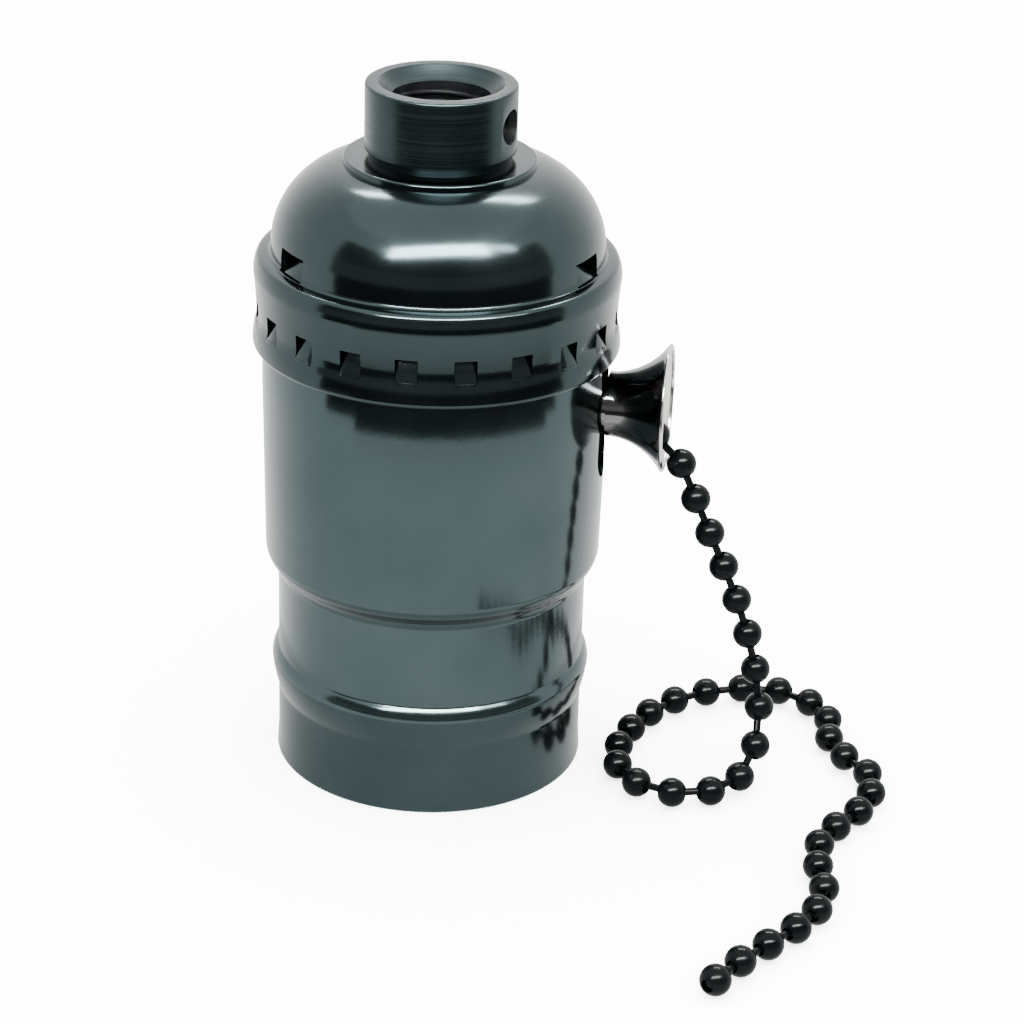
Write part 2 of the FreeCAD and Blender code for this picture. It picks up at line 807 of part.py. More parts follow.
def switch_housing():
    drum = rod("housing_radius", "housing_top - base_top", ("0", "0", "base_top"))
    cavity = block(
        ("cavity_back", "-cavity_half", "cavity_floor"), ("cavity_front", "cavity_half", "housing_top")
    )
    flats = [
        block(("-flat_half", low, "base_top"), ("flat_half", high, "flat_top"))
        for low, high in (("flat_depth", "housing_radius + 1"), ("-housing_radius - 1", "-flat_depth"))
    ]
    foot_recess = block(
        ("-strap_half - 0.1", "-flat_depth - 0.1", "base_top"),
        ("strap_half + 0.1", "-rivet_place + rivet_head + 0.3", "base_top + leaf + 0.1"),
    )
    tail_slot = block(
        ("shaft_x - 1.4", "0", "cavity_floor"),
        ("shaft_x + 1.4", "flat_depth + 1", "cavity_floor + leaf + 0.1"),
    )
    guide_hole = rod(
        "guide_radius + hole_fit", "housing_radius", ("cavity_front - 1", "0", "chain_height"), "X"
    )
    shaft_slot = block(
        ("shaft_x - shaft_radius - running_gap", "-shaft_half - 0.1", "shaft_height"),
        ("shaft_x + shaft_radius + running_gap", "shaft_half + 0.1", "housing_top"),
    )
    shaft_hole = rod(
        "shaft_radius + running_gap",
        "2 * shaft_half + 0.2",
        ("shaft_x", "-shaft_half - 0.1", "shaft_height"),
        "Y",
    )
    contact_hole = rod("contact_shank + hole_fit", "cavity_floor - base_top", ("contact_x", "0", "base_top"))
    screw_holes = [
        rod("terminal_shank + hole_fit", "terminal_depth + 0.2", ("0", low, "terminal_height"), "Y")
        for low in ("flat_depth - terminal_depth - 0.1", "-flat_depth - 0.1")
    ]
    posts = post_holes("screw_shank + hole_fit", "base_top", "housing_top")
    tools = [cavity, *flats, foot_recess, tail_slot, guide_hole, shaft_slot, shaft_hole, contact_hole]
    keep(cut(drum, *tools, *screw_holes, *posts), "switch_housing")


def housing_cover():
    plate = rod("housing_radius", "cover_thickness", ("0", "0", "housing_top"))
    notches = [
        block(
            ("-flat_half", low, "housing_top - 1"),
            ("flat_half", high, "housing_top + cover_thickness + 1"),
        )
        for low, high in (("flat_depth", "housing_radius + 1"), ("-housing_radius - 1", "-flat_depth"))
    ]
    top = "housing_top + cover_thickness"
    posts = post_holes("screw_shank + hole_fit", "housing_top", top)
    sinks = post_holes("screw_head + 0.2", top + " - screw_sink", top + " + 1")
    keep(cut(plate, *notches, *posts, *sinks), "housing_cover")


def assembly_screws():
    seat = "housing_top + cover_thickness - screw_sink"
    shanks = post_holes("screw_shank", "screw_end", seat)
    heads = post_holes("screw_head", seat, seat + " + screw_head_height")
    slots = [
        block(
            (x + " - screw_head - 1", y + " - 0.35", seat + " + screw_head_height - 0.6"),
            (x + " + screw_head + 1", y + " + 0.35", seat + " + screw_head_height + 1"),
        )
        for x, y in (("-screw_x", "screw_y"), ("screw_x", "-screw_y"))
    ]
    keep(cut(fused(*shanks, *heads), *slots), "assembly_screws")


# Rivets and contacts


def shell_rivets():
    parts = []
    low = "screw_top - screw_wall - rivet_head_height"
    for side in ("", "-"):
        y = side + "rivet_place"
        parts.append(rod("rivet_shank", "base_top - (%s)" % low, ("0", y, low)))
        parts.append(rod("rivet_head", "rivet_head_height", ("0", y, low)))
        parts.append(rod("rivet_head", "rivet_head_height", ("0", y, "base_top - rivet_head_height")))
    keep(fused(*parts), "shell_rivets")


def centre_contact():
    body = new_body("centre_contact")
    top = "(screw_top + well_depth)"
    sketch = new_sketch(body, "XZ_Plane")
    draw(
        sketch,
        [
            ("-well_radius + 0.9", top),
            ("-well_radius + 0.9", top + " - leaf"),
            ("-2", top + " - leaf"),
            ("2.2", top + " - leaf - centre_drop"),
            ("4.6", top + " - leaf - centre_drop + 0.5"),
            ("4.6", top + " - centre_drop + 0.6"),
            ("2.4", top + " - centre_drop + 0.15"),
            ("-1.6", top),
        ],
    )
    strip = pad(body, sketch, "2 * centre_half", both_ways=True)
    hole = new_sketch(body, "XY_Plane")
    draw_circle(hole, "contact_x", "0", "contact_shank + hole_fit")
    pad(body, hole, "screw_top + well_depth + 5", back=True, cut=True)
    return strip


def contact_rivet():
    low = "screw_top + well_depth - leaf - rivet_head_height"
    high = "cavity_floor + leaf"
    shank = rod("contact_shank", "(%s) - (%s)" % (high, low), ("contact_x", "0", low))
    heads = [rod("contact_head", "rivet_head_height", ("contact_x", "0", place)) for place in (low, high)]
    keep(fused(shank, *heads), "contact_rivet")


def rising_leaf(side):
    """A contact leaf that stands on the cavity floor and leans to the rotor's cross from one side."""
    face = "shaft_x %s (cross_radius + contact_gap)" % side
    foot = "shaft_x %s (cross_radius + leaf_spread)" % side
    body = doc.addObject("PartDesign::Body", "RisingLeaf")
    sketch = new_sketch(body, "XZ_Plane")
    draw(
        sketch,
        [
            (foot + " %s leaf" % side, "cavity_floor"),
            (foot, "cavity_floor"),
            (foot, "cavity_floor + 2"),
            (face, "shaft_height - 0.8"),
            (face, "shaft_height + 0.8"),
            (face + " %s 0.6" % side, "leaf_top"),
            (face + " %s (0.6 + leaf)" % side, "leaf_top"),
            (face + " %s leaf" % side, "shaft_height + 0.8"),
            (face + " %s leaf" % side, "shaft_height - 0.8"),
            (foot + " %s leaf" % side, "cavity_floor + 2"),
        ],
    )
    pad(body, sketch, "2.4", both_ways=True)
    bind(body, Placement__Base__y="drum_shoulder - cross_thickness / 2")
    return body


def hot_contact():
    leaf = rising_leaf("-")
    y = "drum_shoulder - cross_thickness / 2"
    plate = block(
        ("shaft_x - cross_radius - leaf_spread - leaf", y + " - 1.2", "cavity_floor"),
        ("contact_x + contact_head", "contact_head", "cavity_floor + leaf"),
    )
    hole = rod("contact_shank + hole_fit", "leaf + 2", ("contact_x", "0", "cavity_floor - 1"))
    keep(cut(fused(leaf, plate), hole), "hot_contact")


def line_contact():
    leaf = rising_leaf("+")
    y = "drum_shoulder - cross_thickness / 2"
    across = block(
        ("shaft_x - 1.2", y + " - 1.2", "cavity_floor"),
        ("shaft_x + cross_radius + leaf_spread + leaf", y + " + 1.2", "cavity_floor + leaf"),
    )
    tail = block(
        ("shaft_x - 1.2", y + " - 1.2", "cavity_floor"),
        ("shaft_x + 1.2", "flat_depth", "cavity_floor + leaf"),
    )
    keep(fused(leaf, across, tail), "line_contact")


def terminal(label, low, high, foot):
    """A terminal strap on one flank of the housing, drilled for its screw."""
    plate = block(("-strap_half", low, foot), ("strap_half + 0.3", high, "strap_top"))
    hole = rod("terminal_shank + 0.1", "6", ("0", low + " - 3", "terminal_height"), "Y")
    if label == "neutral_terminal":
        toe = block(
            ("-strap_half", low, foot), ("strap_half", "-rivet_place + rivet_head", foot + " + leaf")
        )
        keep(cut(fused(plate, toe), hole), label)
    else:
        keep(cut(plate, hole), label)


def terminal_screw(label, side):
    """A slotted screw whose head clamps a wire against its strap."""
    face = "flat_depth + strap_thickness"
    head = rod("terminal_head", "terminal_head_height", ("0", face, "0"), "Y")
    shank = rod(
        "terminal_shank", "strap_thickness + terminal_depth", ("0", "flat_depth - terminal_depth", "0"), "Y"
    )
    slot = block(
        ("-terminal_head - 1", face + " + terminal_head_height - 0.8", "-0.4"),
        ("terminal_head + 1", face + " + terminal_head_height + 1", "0.4"),
    )
    screw = cut(fused(shank, head), slot)
    turn = FreeCAD.Rotation(FreeCAD.Vector(0, 0, 1), 0 if side > 0 else 180)
    screw.Placement = FreeCAD.Placement(FreeCAD.Vector(0, 0, number("terminal_height")), turn)
    keep(screw, label)


# Rotary switch: shaft, drum, contact cross and ratchet wheel


def at_shaft(thing, y="0"):
    """Moves a piece that was drawn about the Y axis to the shaft."""
    bind(thing, Placement__Base__x="shaft_x", Placement__Base__y=y, Placement__Base__z="shaft_height")


def switch_shaft():
    shaft = rod("shaft_radius", "2 * shaft_half", ("shaft_x", "-shaft_half", "shaft_height"), "Y")
    keep(shaft, "switch_shaft")


def rotor_drum():
    drum = rod("drum_radius", "drum_end - drum_shoulder", ("shaft_x", "drum_shoulder", "shaft_height"), "Y")
    spigot = rod("drum_spigot", "drum_shoulder - drum_back", ("shaft_x", "drum_back", "shaft_height"), "Y")
    bore = rod("shaft_radius + running_gap", "20", ("shaft_x", "-10", "shaft_height"), "Y")
    keep(cut(fused(drum, spigot), bore), "rotor_drum")


def contact_cross():
    low = "drum_shoulder - cross_thickness"
    disc = rod("cross_radius", "cross_thickness", ("shaft_x", low, "shaft_height"), "Y")
    arms = [
        block(
            ("shaft_x - cross_radius - 1", low, "shaft_height - cross_half"),
            ("shaft_x + cross_radius + 1", "drum_shoulder", "shaft_height + cross_half"),
        ),
        block(
            ("shaft_x - cross_half", low, "shaft_height - cross_radius - 1"),
            ("shaft_x + cross_half", "drum_shoulder", "shaft_height + cross_radius + 1"),
        ),
    ]
    middle = rod("drum_radius", "cross_thickness", ("shaft_x", low, "shaft_height"), "Y")
    trimmed = doc.addObject("Part::Common", "Arms")
    trimmed.Base = disc
    trimmed.Tool = fused(*arms, middle)
    hole = rod("drum_spigot + 0.02", "4", ("shaft_x", low + " - 1", "shaft_height"), "Y")
    keep(cut(trimmed, hole), "contact_cross")


def ratchet_wheel():
    body = new_body("ratchet_wheel")
    sketch = new_sketch(body, "XZ_Plane")
    count = int(number("tooth_count"))
    corners = []
    for index in range(count):
        angle = "(tooth_turn + %d * 360 / tooth_count)" % index
        for radius in ("tooth_root", "tooth_tip"):
            corner = ("%s * cos(%s * 1deg)" % (radius, angle), "%s * sin(%s * 1deg)" % (radius, angle))
            corners.append(corner)
    draw(sketch, corners)
    draw_circle(sketch, "0", "0", "shaft_radius + running_gap")
    pad(body, sketch, "wheel_thickness", back=True)
    at_shaft(body, "drum_end")


# Pull lever, pawl and return spring, all on the shaft


def lever_turn():
    """The lever's angle at rest, from straight down: its pin starts half the travel behind the shaft."""
    return math.degrees(math.atan2(number("pull_travel / 2"), number("shaft_height - chain_height")))


def place_on_lever(thing, y):
    place = FreeCAD.Vector(number("shaft_x"), number(y), number("shaft_height"))
    thing.Placement = FreeCAD.Placement(place, FreeCAD.Rotation(FreeCAD.Vector(0, 1, 0), lever_turn()))


def lever():
    body = new_body("pull_lever")
    sketch = new_sketch(body, "XZ_Plane")
    draw(
        sketch,
        [
            ("0", "lever_eye", "lever_eye"),
            ("-lever_eye", "0", "lever_eye"),
            ("-lever_half", "-lever_eye - 1"),
            ("-lever_half - 0.35", "-fork_depth"),
            ("-lever_half - 0.35", "-lever_reach"),
            ("-fork_half", "-lever_reach"),
            ("-fork_half", "-fork_depth"),
            ("fork_half", "-fork_depth"),
            ("fork_half", "-lever_reach"),
            ("lever_half + 0.35", "-lever_reach"),
            ("lever_half + 0.35", "-fork_depth"),
            ("lever_half", "-lever_eye - 1"),
            ("lever_eye", "0"),
        ],
    )
    draw_circle(sketch, "0", "0", "shaft_radius + running_gap")
    pad(body, sketch, "lever_thickness", back=True)
    place_on_lever(body, "drum_end + wheel_thickness + lever_gap")


def pawl():
    corner = ("-pawl_half", "-(wheel_thickness + lever_gap - pawl_back)", "-pawl_outer")
    nose = block(corner, ("pawl_half", "0", "-pawl_inner"))
    place_on_lever(nose, "drum_end + wheel_thickness + lever_gap")
    shift = nose.Placement.Rotation.multVec(FreeCAD.Vector(*[number(place) for place in corner]))
    nose.setExpression("Placement.Base.x", None)
    nose.setExpression("Placement.Base.y", None)
    nose.setExpression("Placement.Base.z", None)
    nose.Placement = FreeCAD.Placement(nose.Placement.Base + shift, nose.Placement.Rotation)
    keep(nose, "pawl")


def return_spring():
    body = new_body("return_spring")
    sketch = new_sketch(body, "XZ_Plane")
    draw_circle(sketch, "spring_radius", "0", "spring_wire")
    coil = body.newObject("PartDesign::AdditiveHelix", "Coil")
    coil.Profile = sketch
    coil.ReferenceAxis = (sketch, ["V_Axis"])
    coil.Mode = 0
    bind(coil, Pitch="spring_pitch", Height="spring_length")
    body.Placement = FreeCAD.Placement(
        FreeCAD.Vector(
            number("shaft_x"),
            number("drum_end + wheel_thickness + lever_gap + lever_thickness + spring_wire + 0.1"),
            number("shaft_height"),
        ),
        FreeCAD.Rotation(FreeCAD.Vector(1, 0, 0), -90),
    )


# Chain guide and bell, turned about the chain's axis


def chain_guide():
    body = new_body("chain_guide")
    turn_solid(
        body,
        [
            ("cavity_front - guide_flange_thickness", "guide_bore"),
            ("guide_end", "guide_bore"),
            ("guide_end", "guide_spigot"),
            ("guide_step", "guide_spigot"),
            ("guide_step", "guide_radius"),
            ("cavity_front", "guide_radius"),
            ("cavity_front", "guide_flange"),
            ("cavity_front - guide_flange_thickness", "guide_flange"),
        ],
        axis="H_Axis",
    )
    bind(body, Placement__Base__z="chain_height")


def pull_bell():
    body = new_body("pull_bell")
    inner = "guide_spigot + 0.02"
    turn_solid(
        body,
        [
            ("guide_step", inner),
            ("guide_end", inner),
            ("bell_mouth - 0.2", "bell_radius - bell_wall", "bell_curve"),
            ("bell_mouth + bell_rim", "bell_radius - bell_wall + 0.15"),
            ("bell_mouth + bell_rim", "bell_radius + 0.1"),
            ("bell_mouth - 0.05", "bell_radius + 0.1"),
            ("guide_step", "guide_radius", "-bell_curve"),
        ],
        axis="H_Axis",
    )
    bind(body, Placement__Base__z="chain_height")


# Chain: a coupling that the lever pulls, and the balls and links along a route

FLOOR = 1.65
CHAIN_ROUTE = [
    (1.5, 0.0, 41.5),
    (23.5, 0.0, 41.4),
    (29.2, -0.7, 30.2),
    (34.6, -1.5, 17.5),
    (37.0, -1.7, 8.2),
    (34.4, -3.2, FLOOR),
    (31.8, -10.4, FLOOR),
    (25.2, -11.2, FLOOR),
    (21.0, -4.4, FLOOR),
    (22.4, 7.0, FLOOR),
    (27.2, 13.2, FLOOR),
    (37.8, 15.4, FLOOR),
    (43.2, 9.6, FLOOR),
    (45.0, 2.6, FLOOR),
    (48.8, -3.2, FLOOR),
    (48.2, -9.8, FLOOR),
    (44.0, -15.8, FLOOR),
    (43.6, -21.2, FLOOR),
    (45.5, -28.0, FLOOR),
    (42.6, -35.0, FLOOR),
    (38.2, -39.6, FLOOR),
    (35.3, -44.7, FLOOR),
]


def route_wire(points):
    """Straight runs joined by tangent arcs, each as large as its two runs allow."""
    places = [FreeCAD.Vector(*point) for point in points]
    edges = []
    start = places[0]
    for before, corner, after in zip(places, places[1:], places[2:]):
        arriving = (corner - before).normalize()
        leaving = (after - corner).normalize()
        half_turn = arriving.getAngle(leaving) / 2
        reach = 0.45 * min((corner - before).Length, (after - corner).Length)
        radius = reach / math.tan(half_turn)
        first = corner - arriving * reach
        last = corner + leaving * reach
        inward = (leaving - arriving).normalize()
        middle = corner + inward * (radius / math.cos(half_turn) - radius)
        edges.append(Part.LineSegment(start, first).toShape())
        edges.append(Part.Arc(first, middle, last).toShape())
        print("bend at (%.1f, %.1f, %.1f): radius %.1f mm" % (corner.x, corner.y, corner.z, radius))
        start = last
    edges.append(Part.LineSegment(start, places[-1]).toShape())
    return Part.Wire(edges)


def ball_chain():
    wire = route_wire(CHAIN_ROUTE)
    count = int(round(wire.Length / number("ball_pitch"))) + 1
    centres = wire.discretize(Number=count)
    print("chain: %.1f mm, %d balls, pitch %.2f mm" % (wire.Length, count, wire.Length / (count - 1)))
    balls = []
    for index, centre in enumerate(centres):
        along = centres[min(index + 1, count - 1)] - centres[max(index - 1, 0)]
        # the links meet each ball on its equator, clear of its poles and seam
        upright = FreeCAD.Vector(0, 0, 1)
        aligned = FreeCAD.Rotation(along.cross(upright), along, upright, "YZX")
        ball = Part.makeSphere(number("ball_size / 2"))
        ball.Placement = FreeCAD.Placement(centre, aligned)
        balls.append(ball)
    links = [
        Part.makeCylinder(number("link_radius"), (after - before).Length, before, after - before)
        for before, after in zip(centres, centres[1:])
    ]
    chain = doc.addObject("Part::Feature", "ball_chain")
    chain.Shape = balls[0].multiFuse(balls[1:] + links)
    chain.Placement = FreeCAD.Placement()
    keep(chain, "ball_chain")


def chain_coupling():
    back = "shaft_x - pull_travel / 2 - coupling_back"
    sleeve = rod("coupling_radius", "coupling_length", (back, "0", "chain_height"), "X")
    bore = rod("ball_size / 2 + 0.05", "coupling_length", (back + " + 2.2", "0", "chain_height"), "X")
    pin = rod("pin_radius", "pin_end", ("shaft_x - pull_travel / 2", "0", "chain_height"), "Y")
    keep(cut(fused(sleeve, pin), bore), "chain_coupling")


outer_shell()
cap()
hub()
set_screw()
insulating_sleeve()
cap_liner()
screw_shell()
socket_base()
switch_housing()
housing_cover()
assembly_screws()
shell_rivets()
centre_contact()
contact_rivet()
hot_contact()
line_contact()
terminal("line_terminal", "flat_depth", "flat_depth + strap_thickness", "strap_foot")
terminal("neutral_terminal", "-flat_depth - strap_thickness", "-flat_depth", "base_top")
terminal_screw("line_screw", 1)
terminal_screw("neutral_screw", -1)
switch_shaft()
rotor_drum()
contact_cross()
ratchet_wheel()
lever()
pawl()
return_spring()
chain_guide()
pull_bell()
chain_coupling()
ball_chain()

doc.recompute()

broken = [thing.Name for thing in doc.Objects if "Invalid" in thing.State or "Error" in thing.State]
if broken:
    raise RuntimeError("failed features: " + ", ".join(broken))
for piece in pieces:
    if piece.Shape.isNull() or not piece.Shape.isValid():
        raise RuntimeError("bad solid: " + piece.Label)
for piece in pieces:
    box = piece.Shape.BoundBox
    print(
        "%-18s solids %d volume %9.2f x %6.1f %6.1f y %6.1f %6.1f z %6.1f %6.1f"
        % (
            piece.Label,
            len(piece.Shape.Solids),
            piece.Shape.Volume,
            box.XMin,
            box.XMax,
            box.YMin,
            box.YMax,
            box.ZMin,
            box.ZMax,
        )
    )
    piece.Shape.exportStep("parts/%s.step" % piece.Label)
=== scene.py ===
import math

import bpy
from mathutils import Euler, Matrix, Vector


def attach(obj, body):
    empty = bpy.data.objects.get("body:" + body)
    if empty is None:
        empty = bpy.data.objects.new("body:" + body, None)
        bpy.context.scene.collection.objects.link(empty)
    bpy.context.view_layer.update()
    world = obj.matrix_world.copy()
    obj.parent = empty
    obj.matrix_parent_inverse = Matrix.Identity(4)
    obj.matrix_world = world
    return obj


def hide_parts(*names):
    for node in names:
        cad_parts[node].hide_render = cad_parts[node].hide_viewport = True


# Lamp socket with a pull chain. Sizes in the dictionaries are millimetres, turned to metres by mm.
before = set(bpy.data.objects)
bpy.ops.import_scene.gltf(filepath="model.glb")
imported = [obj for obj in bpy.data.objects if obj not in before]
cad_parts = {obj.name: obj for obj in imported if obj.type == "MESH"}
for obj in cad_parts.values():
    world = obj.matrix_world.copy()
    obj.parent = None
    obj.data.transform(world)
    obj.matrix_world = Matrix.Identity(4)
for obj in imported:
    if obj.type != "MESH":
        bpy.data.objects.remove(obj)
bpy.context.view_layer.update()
mm = 0.001


# Small tools for modelling


def onlySelect(obj):
    bpy.ops.object.select_all(action="DESELECT")
    obj.select_set(True)
    bpy.context.view_layer.objects.active = obj


def roundPath(corners, steps=10):
    # a corner is (out, up), or (out, up, radius) where an arc ends; a minus radius turns clockwise
    points = []
    for index, corner in enumerate(corners):
        end = Vector(corner[:2])
        if len(corner) == 2:
            points.append(end)
            continue
        start = Vector(corners[index - 1][:2])
        chord = end - start
        side = Vector((-chord.y, chord.x)).normalized()
        if corner[2] < 0:
            side = -side
        radius = abs(corner[2])
        centre = (start + end) / 2 + side * math.sqrt(max(radius**2 - chord.length**2 / 4, 0))
        sweep = 2 * math.asin(min(chord.length / 2 / radius, 1))
        if corner[2] < 0:
            sweep = -sweep
        for step in range(1, steps):
            turn = Matrix.Rotation(sweep * step / steps, 2)
            points.append(centre + turn @ (start - centre))
        points.append(end)
    return points


def turned(name, outline, steps=144, centre=(0, 0, 0), along="Z"):
    # draws a closed outline point by point, then spins it round Z, or round X
    points = [(Vector((point.x, 0, point.y)) + Vector(centre)) * mm for point in outline]
    bpy.ops.object.select_all(action="DESELECT")
    bpy.ops.mesh.primitive_plane_add(size=mm, location=(0, 0, 0))
    piece = bpy.context.object
    piece.name = name
    bpy.ops.object.mode_set(mode="EDIT")
    bpy.ops.mesh.select_all(action="SELECT")
    bpy.ops.mesh.merge(type="CENTER")
    bpy.ops.transform.translate(value=points[0])
    for before, after in zip(points, points[1:] + points[:1]):
        bpy.ops.mesh.extrude_region_move(TRANSFORM_OT_translate={"value": after - before})
    bpy.ops.mesh.select_all(action="SELECT")
    bpy.ops.mesh.remove_doubles(threshold=1e-6)
    axis = (0, 0, 1) if along == "Z" else (1, 0, 0)
    bpy.ops.mesh.spin(steps=steps, angle=2 * math.pi, center=Vector(centre) * mm, axis=axis)
    bpy.ops.mesh.select_all(action="SELECT")
    bpy.ops.mesh.remove_doubles(threshold=1e-6)
    bpy.ops.mesh.normals_make_consistent(inside=False)
    bpy.ops.object.mode_set(mode="OBJECT")
    return piece


def box(name, size, at):
    bpy.ops.object.select_all(action="DESELECT")
    bpy.ops.mesh.primitive_cube_add(size=1, location=Vector(at) * mm, scale=Vector(size) * mm)
    piece = bpy.context.object
    piece.name = name
    bpy.ops.object.transform_apply(location=True, rotation=True, scale=True)
    return piece


def rodAlongX(radius, depth, at):
    bpy.ops.object.select_all(action="DESELECT")
    bpy.ops.mesh.primitive_cylinder_add(
        vertices=48,
        radius=radius * mm,
        depth=depth * mm,
        location=Vector(at) * mm,
        rotation=(0, math.radians(90), 0),
    )
    piece = bpy.context.object
    bpy.ops.object.transform_apply(location=True, rotation=True, scale=True)
    return piece


def moveVerts(piece, test, shift):
    # slides the corners that pass a test of their place in millimetres
    onlySelect(piece)
    bpy.ops.object.mode_set(mode="EDIT")
    bpy.ops.mesh.select_all(action="DESELECT")
    bpy.ops.object.mode_set(mode="OBJECT")
    for vert in piece.data.vertices:
        vert.select = test(vert.co / mm)
    bpy.ops.object.mode_set(mode="EDIT")
    bpy.ops.transform.translate(value=Vector(shift) * mm)
    bpy.ops.object.mode_set(mode="OBJECT")


def ringOf(piece, count, firstTurn=0.0):
    # copies a piece round the Z axis and joins the copies
    copies = []
    for index in range(count):
        other = piece.copy()
        other.data = piece.data.copy()
        bpy.context.collection.objects.link(other)
        other.data.transform(Matrix.Rotation(math.radians(firstTurn + index * 360 / count), 4, "Z"))
        copies.append(other)
    bpy.data.objects.remove(piece)
    return joined(copies)


def joined(pieces):
    bpy.ops.object.select_all(action="DESELECT")
    for piece in pieces:
        piece.select_set(True)
    bpy.context.view_layer.objects.active = pieces[0]
    bpy.ops.object.join()
    return bpy.context.object


def cutWith(piece, tool):
    # takes a tool's shape out of a piece
    onlySelect(piece)
    cutter = piece.modifiers.new("Cut", "BOOLEAN")
    cutter.operation = "DIFFERENCE"
    cutter.solver = "EXACT"
    cutter.object = tool
    bpy.ops.object.modifier_apply(modifier=cutter.name)
    bpy.data.objects.remove(tool)


def softEdges(piece, width, angle=40):
    onlySelect(piece)
    bevel = piece.modifiers.new("Edges", "BEVEL")
    bevel.width = width * mm
    bevel.segments = 2
    bevel.limit_method = "ANGLE"
    bevel.angle_limit = math.radians(angle)
    bpy.ops.object.modifier_apply(modifier=bevel.name)


def smooth(piece, angle=38):
    onlySelect(piece)
    bpy.ops.object.shade_smooth_by_angle(angle=math.radians(angle))


def dress(piece, material, body="socket", nodes=()):
    piece.data.materials.clear()
    piece.data.materials.append(material)
    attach(piece, body)
    if nodes:
        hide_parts(*nodes)


# Materials


def shader(name, colour, metallic, roughness, **sockets):
    material = bpy.data.materials.new(name)
    material.use_nodes = True
    surface = material.node_tree.nodes["Principled BSDF"]
    surface.inputs["Base Color"].default_value = (*colour, 1)
    surface.inputs["Metallic"].default_value = metallic
    surface.inputs["Roughness"].default_value = roughness
    for socket, value in sockets.items():
        surface.inputs[socket.replace("_", " ")].default_value = value
    return material, surface


def noise(material, scale, detail=3.0, stretch=(1, 1, 1)):
    nodes, links = material.node_tree.nodes, material.node_tree.links
    coords = nodes.new("ShaderNodeTexCoord")
    mapping = nodes.new("ShaderNodeMapping")
    mapping.inputs["Scale"].default_value = stretch
    links.new(coords.outputs["Object"], mapping.inputs["Vector"])
    texture = nodes.new("ShaderNodeTexNoise")
    texture.inputs["Scale"].default_value = scale
    texture.inputs["Detail"].default_value = detail
    links.new(mapping.outputs["Vector"], texture.inputs["Vector"])
    return texture.outputs["Fac"]


def spread(material, source, low, high):
    # stretches a noise to run between two values
    node = material.node_tree.nodes.new("ShaderNodeMapRange")
    node.inputs["From Min"].default_value = 0.3
    node.inputs["From Max"].default_value = 0.7
    node.inputs["To Min"].default_value = low
    node.inputs["To Max"].default_value = high
    material.node_tree.links.new(source, node.inputs["Value"])
    return node.outputs["Result"]


def tinted(material, source, first, second):
    node = material.node_tree.nodes.new("ShaderNodeMix")
    node.data_type = "RGBA"
    node.inputs[6].default_value = (*first, 1)
    node.inputs[7].default_value = (*second, 1)
    material.node_tree.links.new(source, node.inputs["Factor"])
    return node.outputs[2]


def bumped(material, surface, layers):
    # stacks bumps, each (height source, strength, depth in mm)
    links = material.node_tree.links
    below = None
    for height, strength, depth in layers:
        bump = material.node_tree.nodes.new("ShaderNodeBump")
        bump.inputs["Strength"].default_value = strength
        bump.inputs["Distance"].default_value = depth * mm
        links.new(height, bump.inputs["Height"])
        if below:
            links.new(below, bump.inputs["Normal"])
        below = bump.outputs["Normal"]
    links.new(below, surface.inputs["Normal"])


paint = {
    "deep": (0.040, 0.058, 0.061),
    "pale": (0.052, 0.072, 0.074),
    # the cap takes the shell's paint darkened by this factor: painted shade on the cap
    "capPaintedShade": 0.66,
    "roughness": (0.12, 0.18),
    "mottle": 90,
    "peel": 1300,
}


# the factor darkens both tones: 1 for the shell, less for the cap, where it is painted shade
def pearlPaint(name, paintedShade):
    deep, pale = [[part * paintedShade for part in paint[tone]] for tone in ("deep", "pale")]
    material, surface = shader(name, deep, 1.0, 0.15)
    links = material.node_tree.links
    mottle = noise(material, paint["mottle"], 4)
    peel = noise(material, paint["peel"], 2)
    tint = tinted(material, spread(material, mottle, 0, 1), deep, pale)
    links.new(tint, surface.inputs["Base Color"])
    links.new(spread(material, mottle, *paint["roughness"]), surface.inputs["Roughness"])
    bumped(material, surface, [(mottle, 0.25, 0.12), (peel, 0.12, 0.02)])
    return material


turnedShadedPaint = {
    "deep": (0.021, 0.030, 0.032),
    "pale": (0.028, 0.039, 0.041),
    "roughness": (0.24, 0.38),
    "mottle": 150,
    "rings": 1500,
    "stretch": (0.03, 0.03, 6),
}


def turnedPaint():
    # the same paint over a lathe-turned face, with its fine rings, in tones about half the shell's:
    # painted shade on the hub
    material, surface = shader("turnedPaint", turnedShadedPaint["deep"], 1.0, 0.2)
    links = material.node_tree.links
    rings = noise(material, turnedShadedPaint["rings"], 2, turnedShadedPaint["stretch"])
    mottle = spread(material, noise(material, turnedShadedPaint["mottle"], 3), 0, 1)
    tint = tinted(material, mottle, turnedShadedPaint["deep"], turnedShadedPaint["pale"])
    links.new(tint, surface.inputs["Base Color"])
    links.new(spread(material, rings, *turnedShadedPaint["roughness"]), surface.inputs["Roughness"])
    bumped(material, surface, [(rings, 0.15, 0.02)])
    return material


def blackGloss():
    dark, light = (0.0003, 0.0005, 0.0006), (0.0006, 0.0010, 0.0011)
    material, surface = shader("blackGloss", dark, 0.0, 0.16)
    surface.inputs["Specular IOR Level"].default_value = 0.07
    links = material.node_tree.links
    cloud = noise(material, 260, 3)
    links.new(tinted(material, cloud, dark, light), surface.inputs["Base Color"])
    links.new(spread(material, cloud, 0.12, 0.22), surface.inputs["Roughness"])
    bumped(material, surface, [(noise(material, 2200, 2), 0.06, 0.01)])
    return material


def plated(name, colour, darker, roughness, grain=400, metallic=1.0):
    material, surface = shader(name, colour, metallic, roughness[0])
    links = material.node_tree.links
    cloud = noise(material, grain, 4)
    links.new(tinted(material, cloud, colour, darker), surface.inputs["Base Color"])
    links.new(spread(material, cloud, *roughness), surface.inputs["Roughness"])
    bumped(material, surface, [(noise(material, grain * 5, 2), 0.08, 0.01)])
    return material


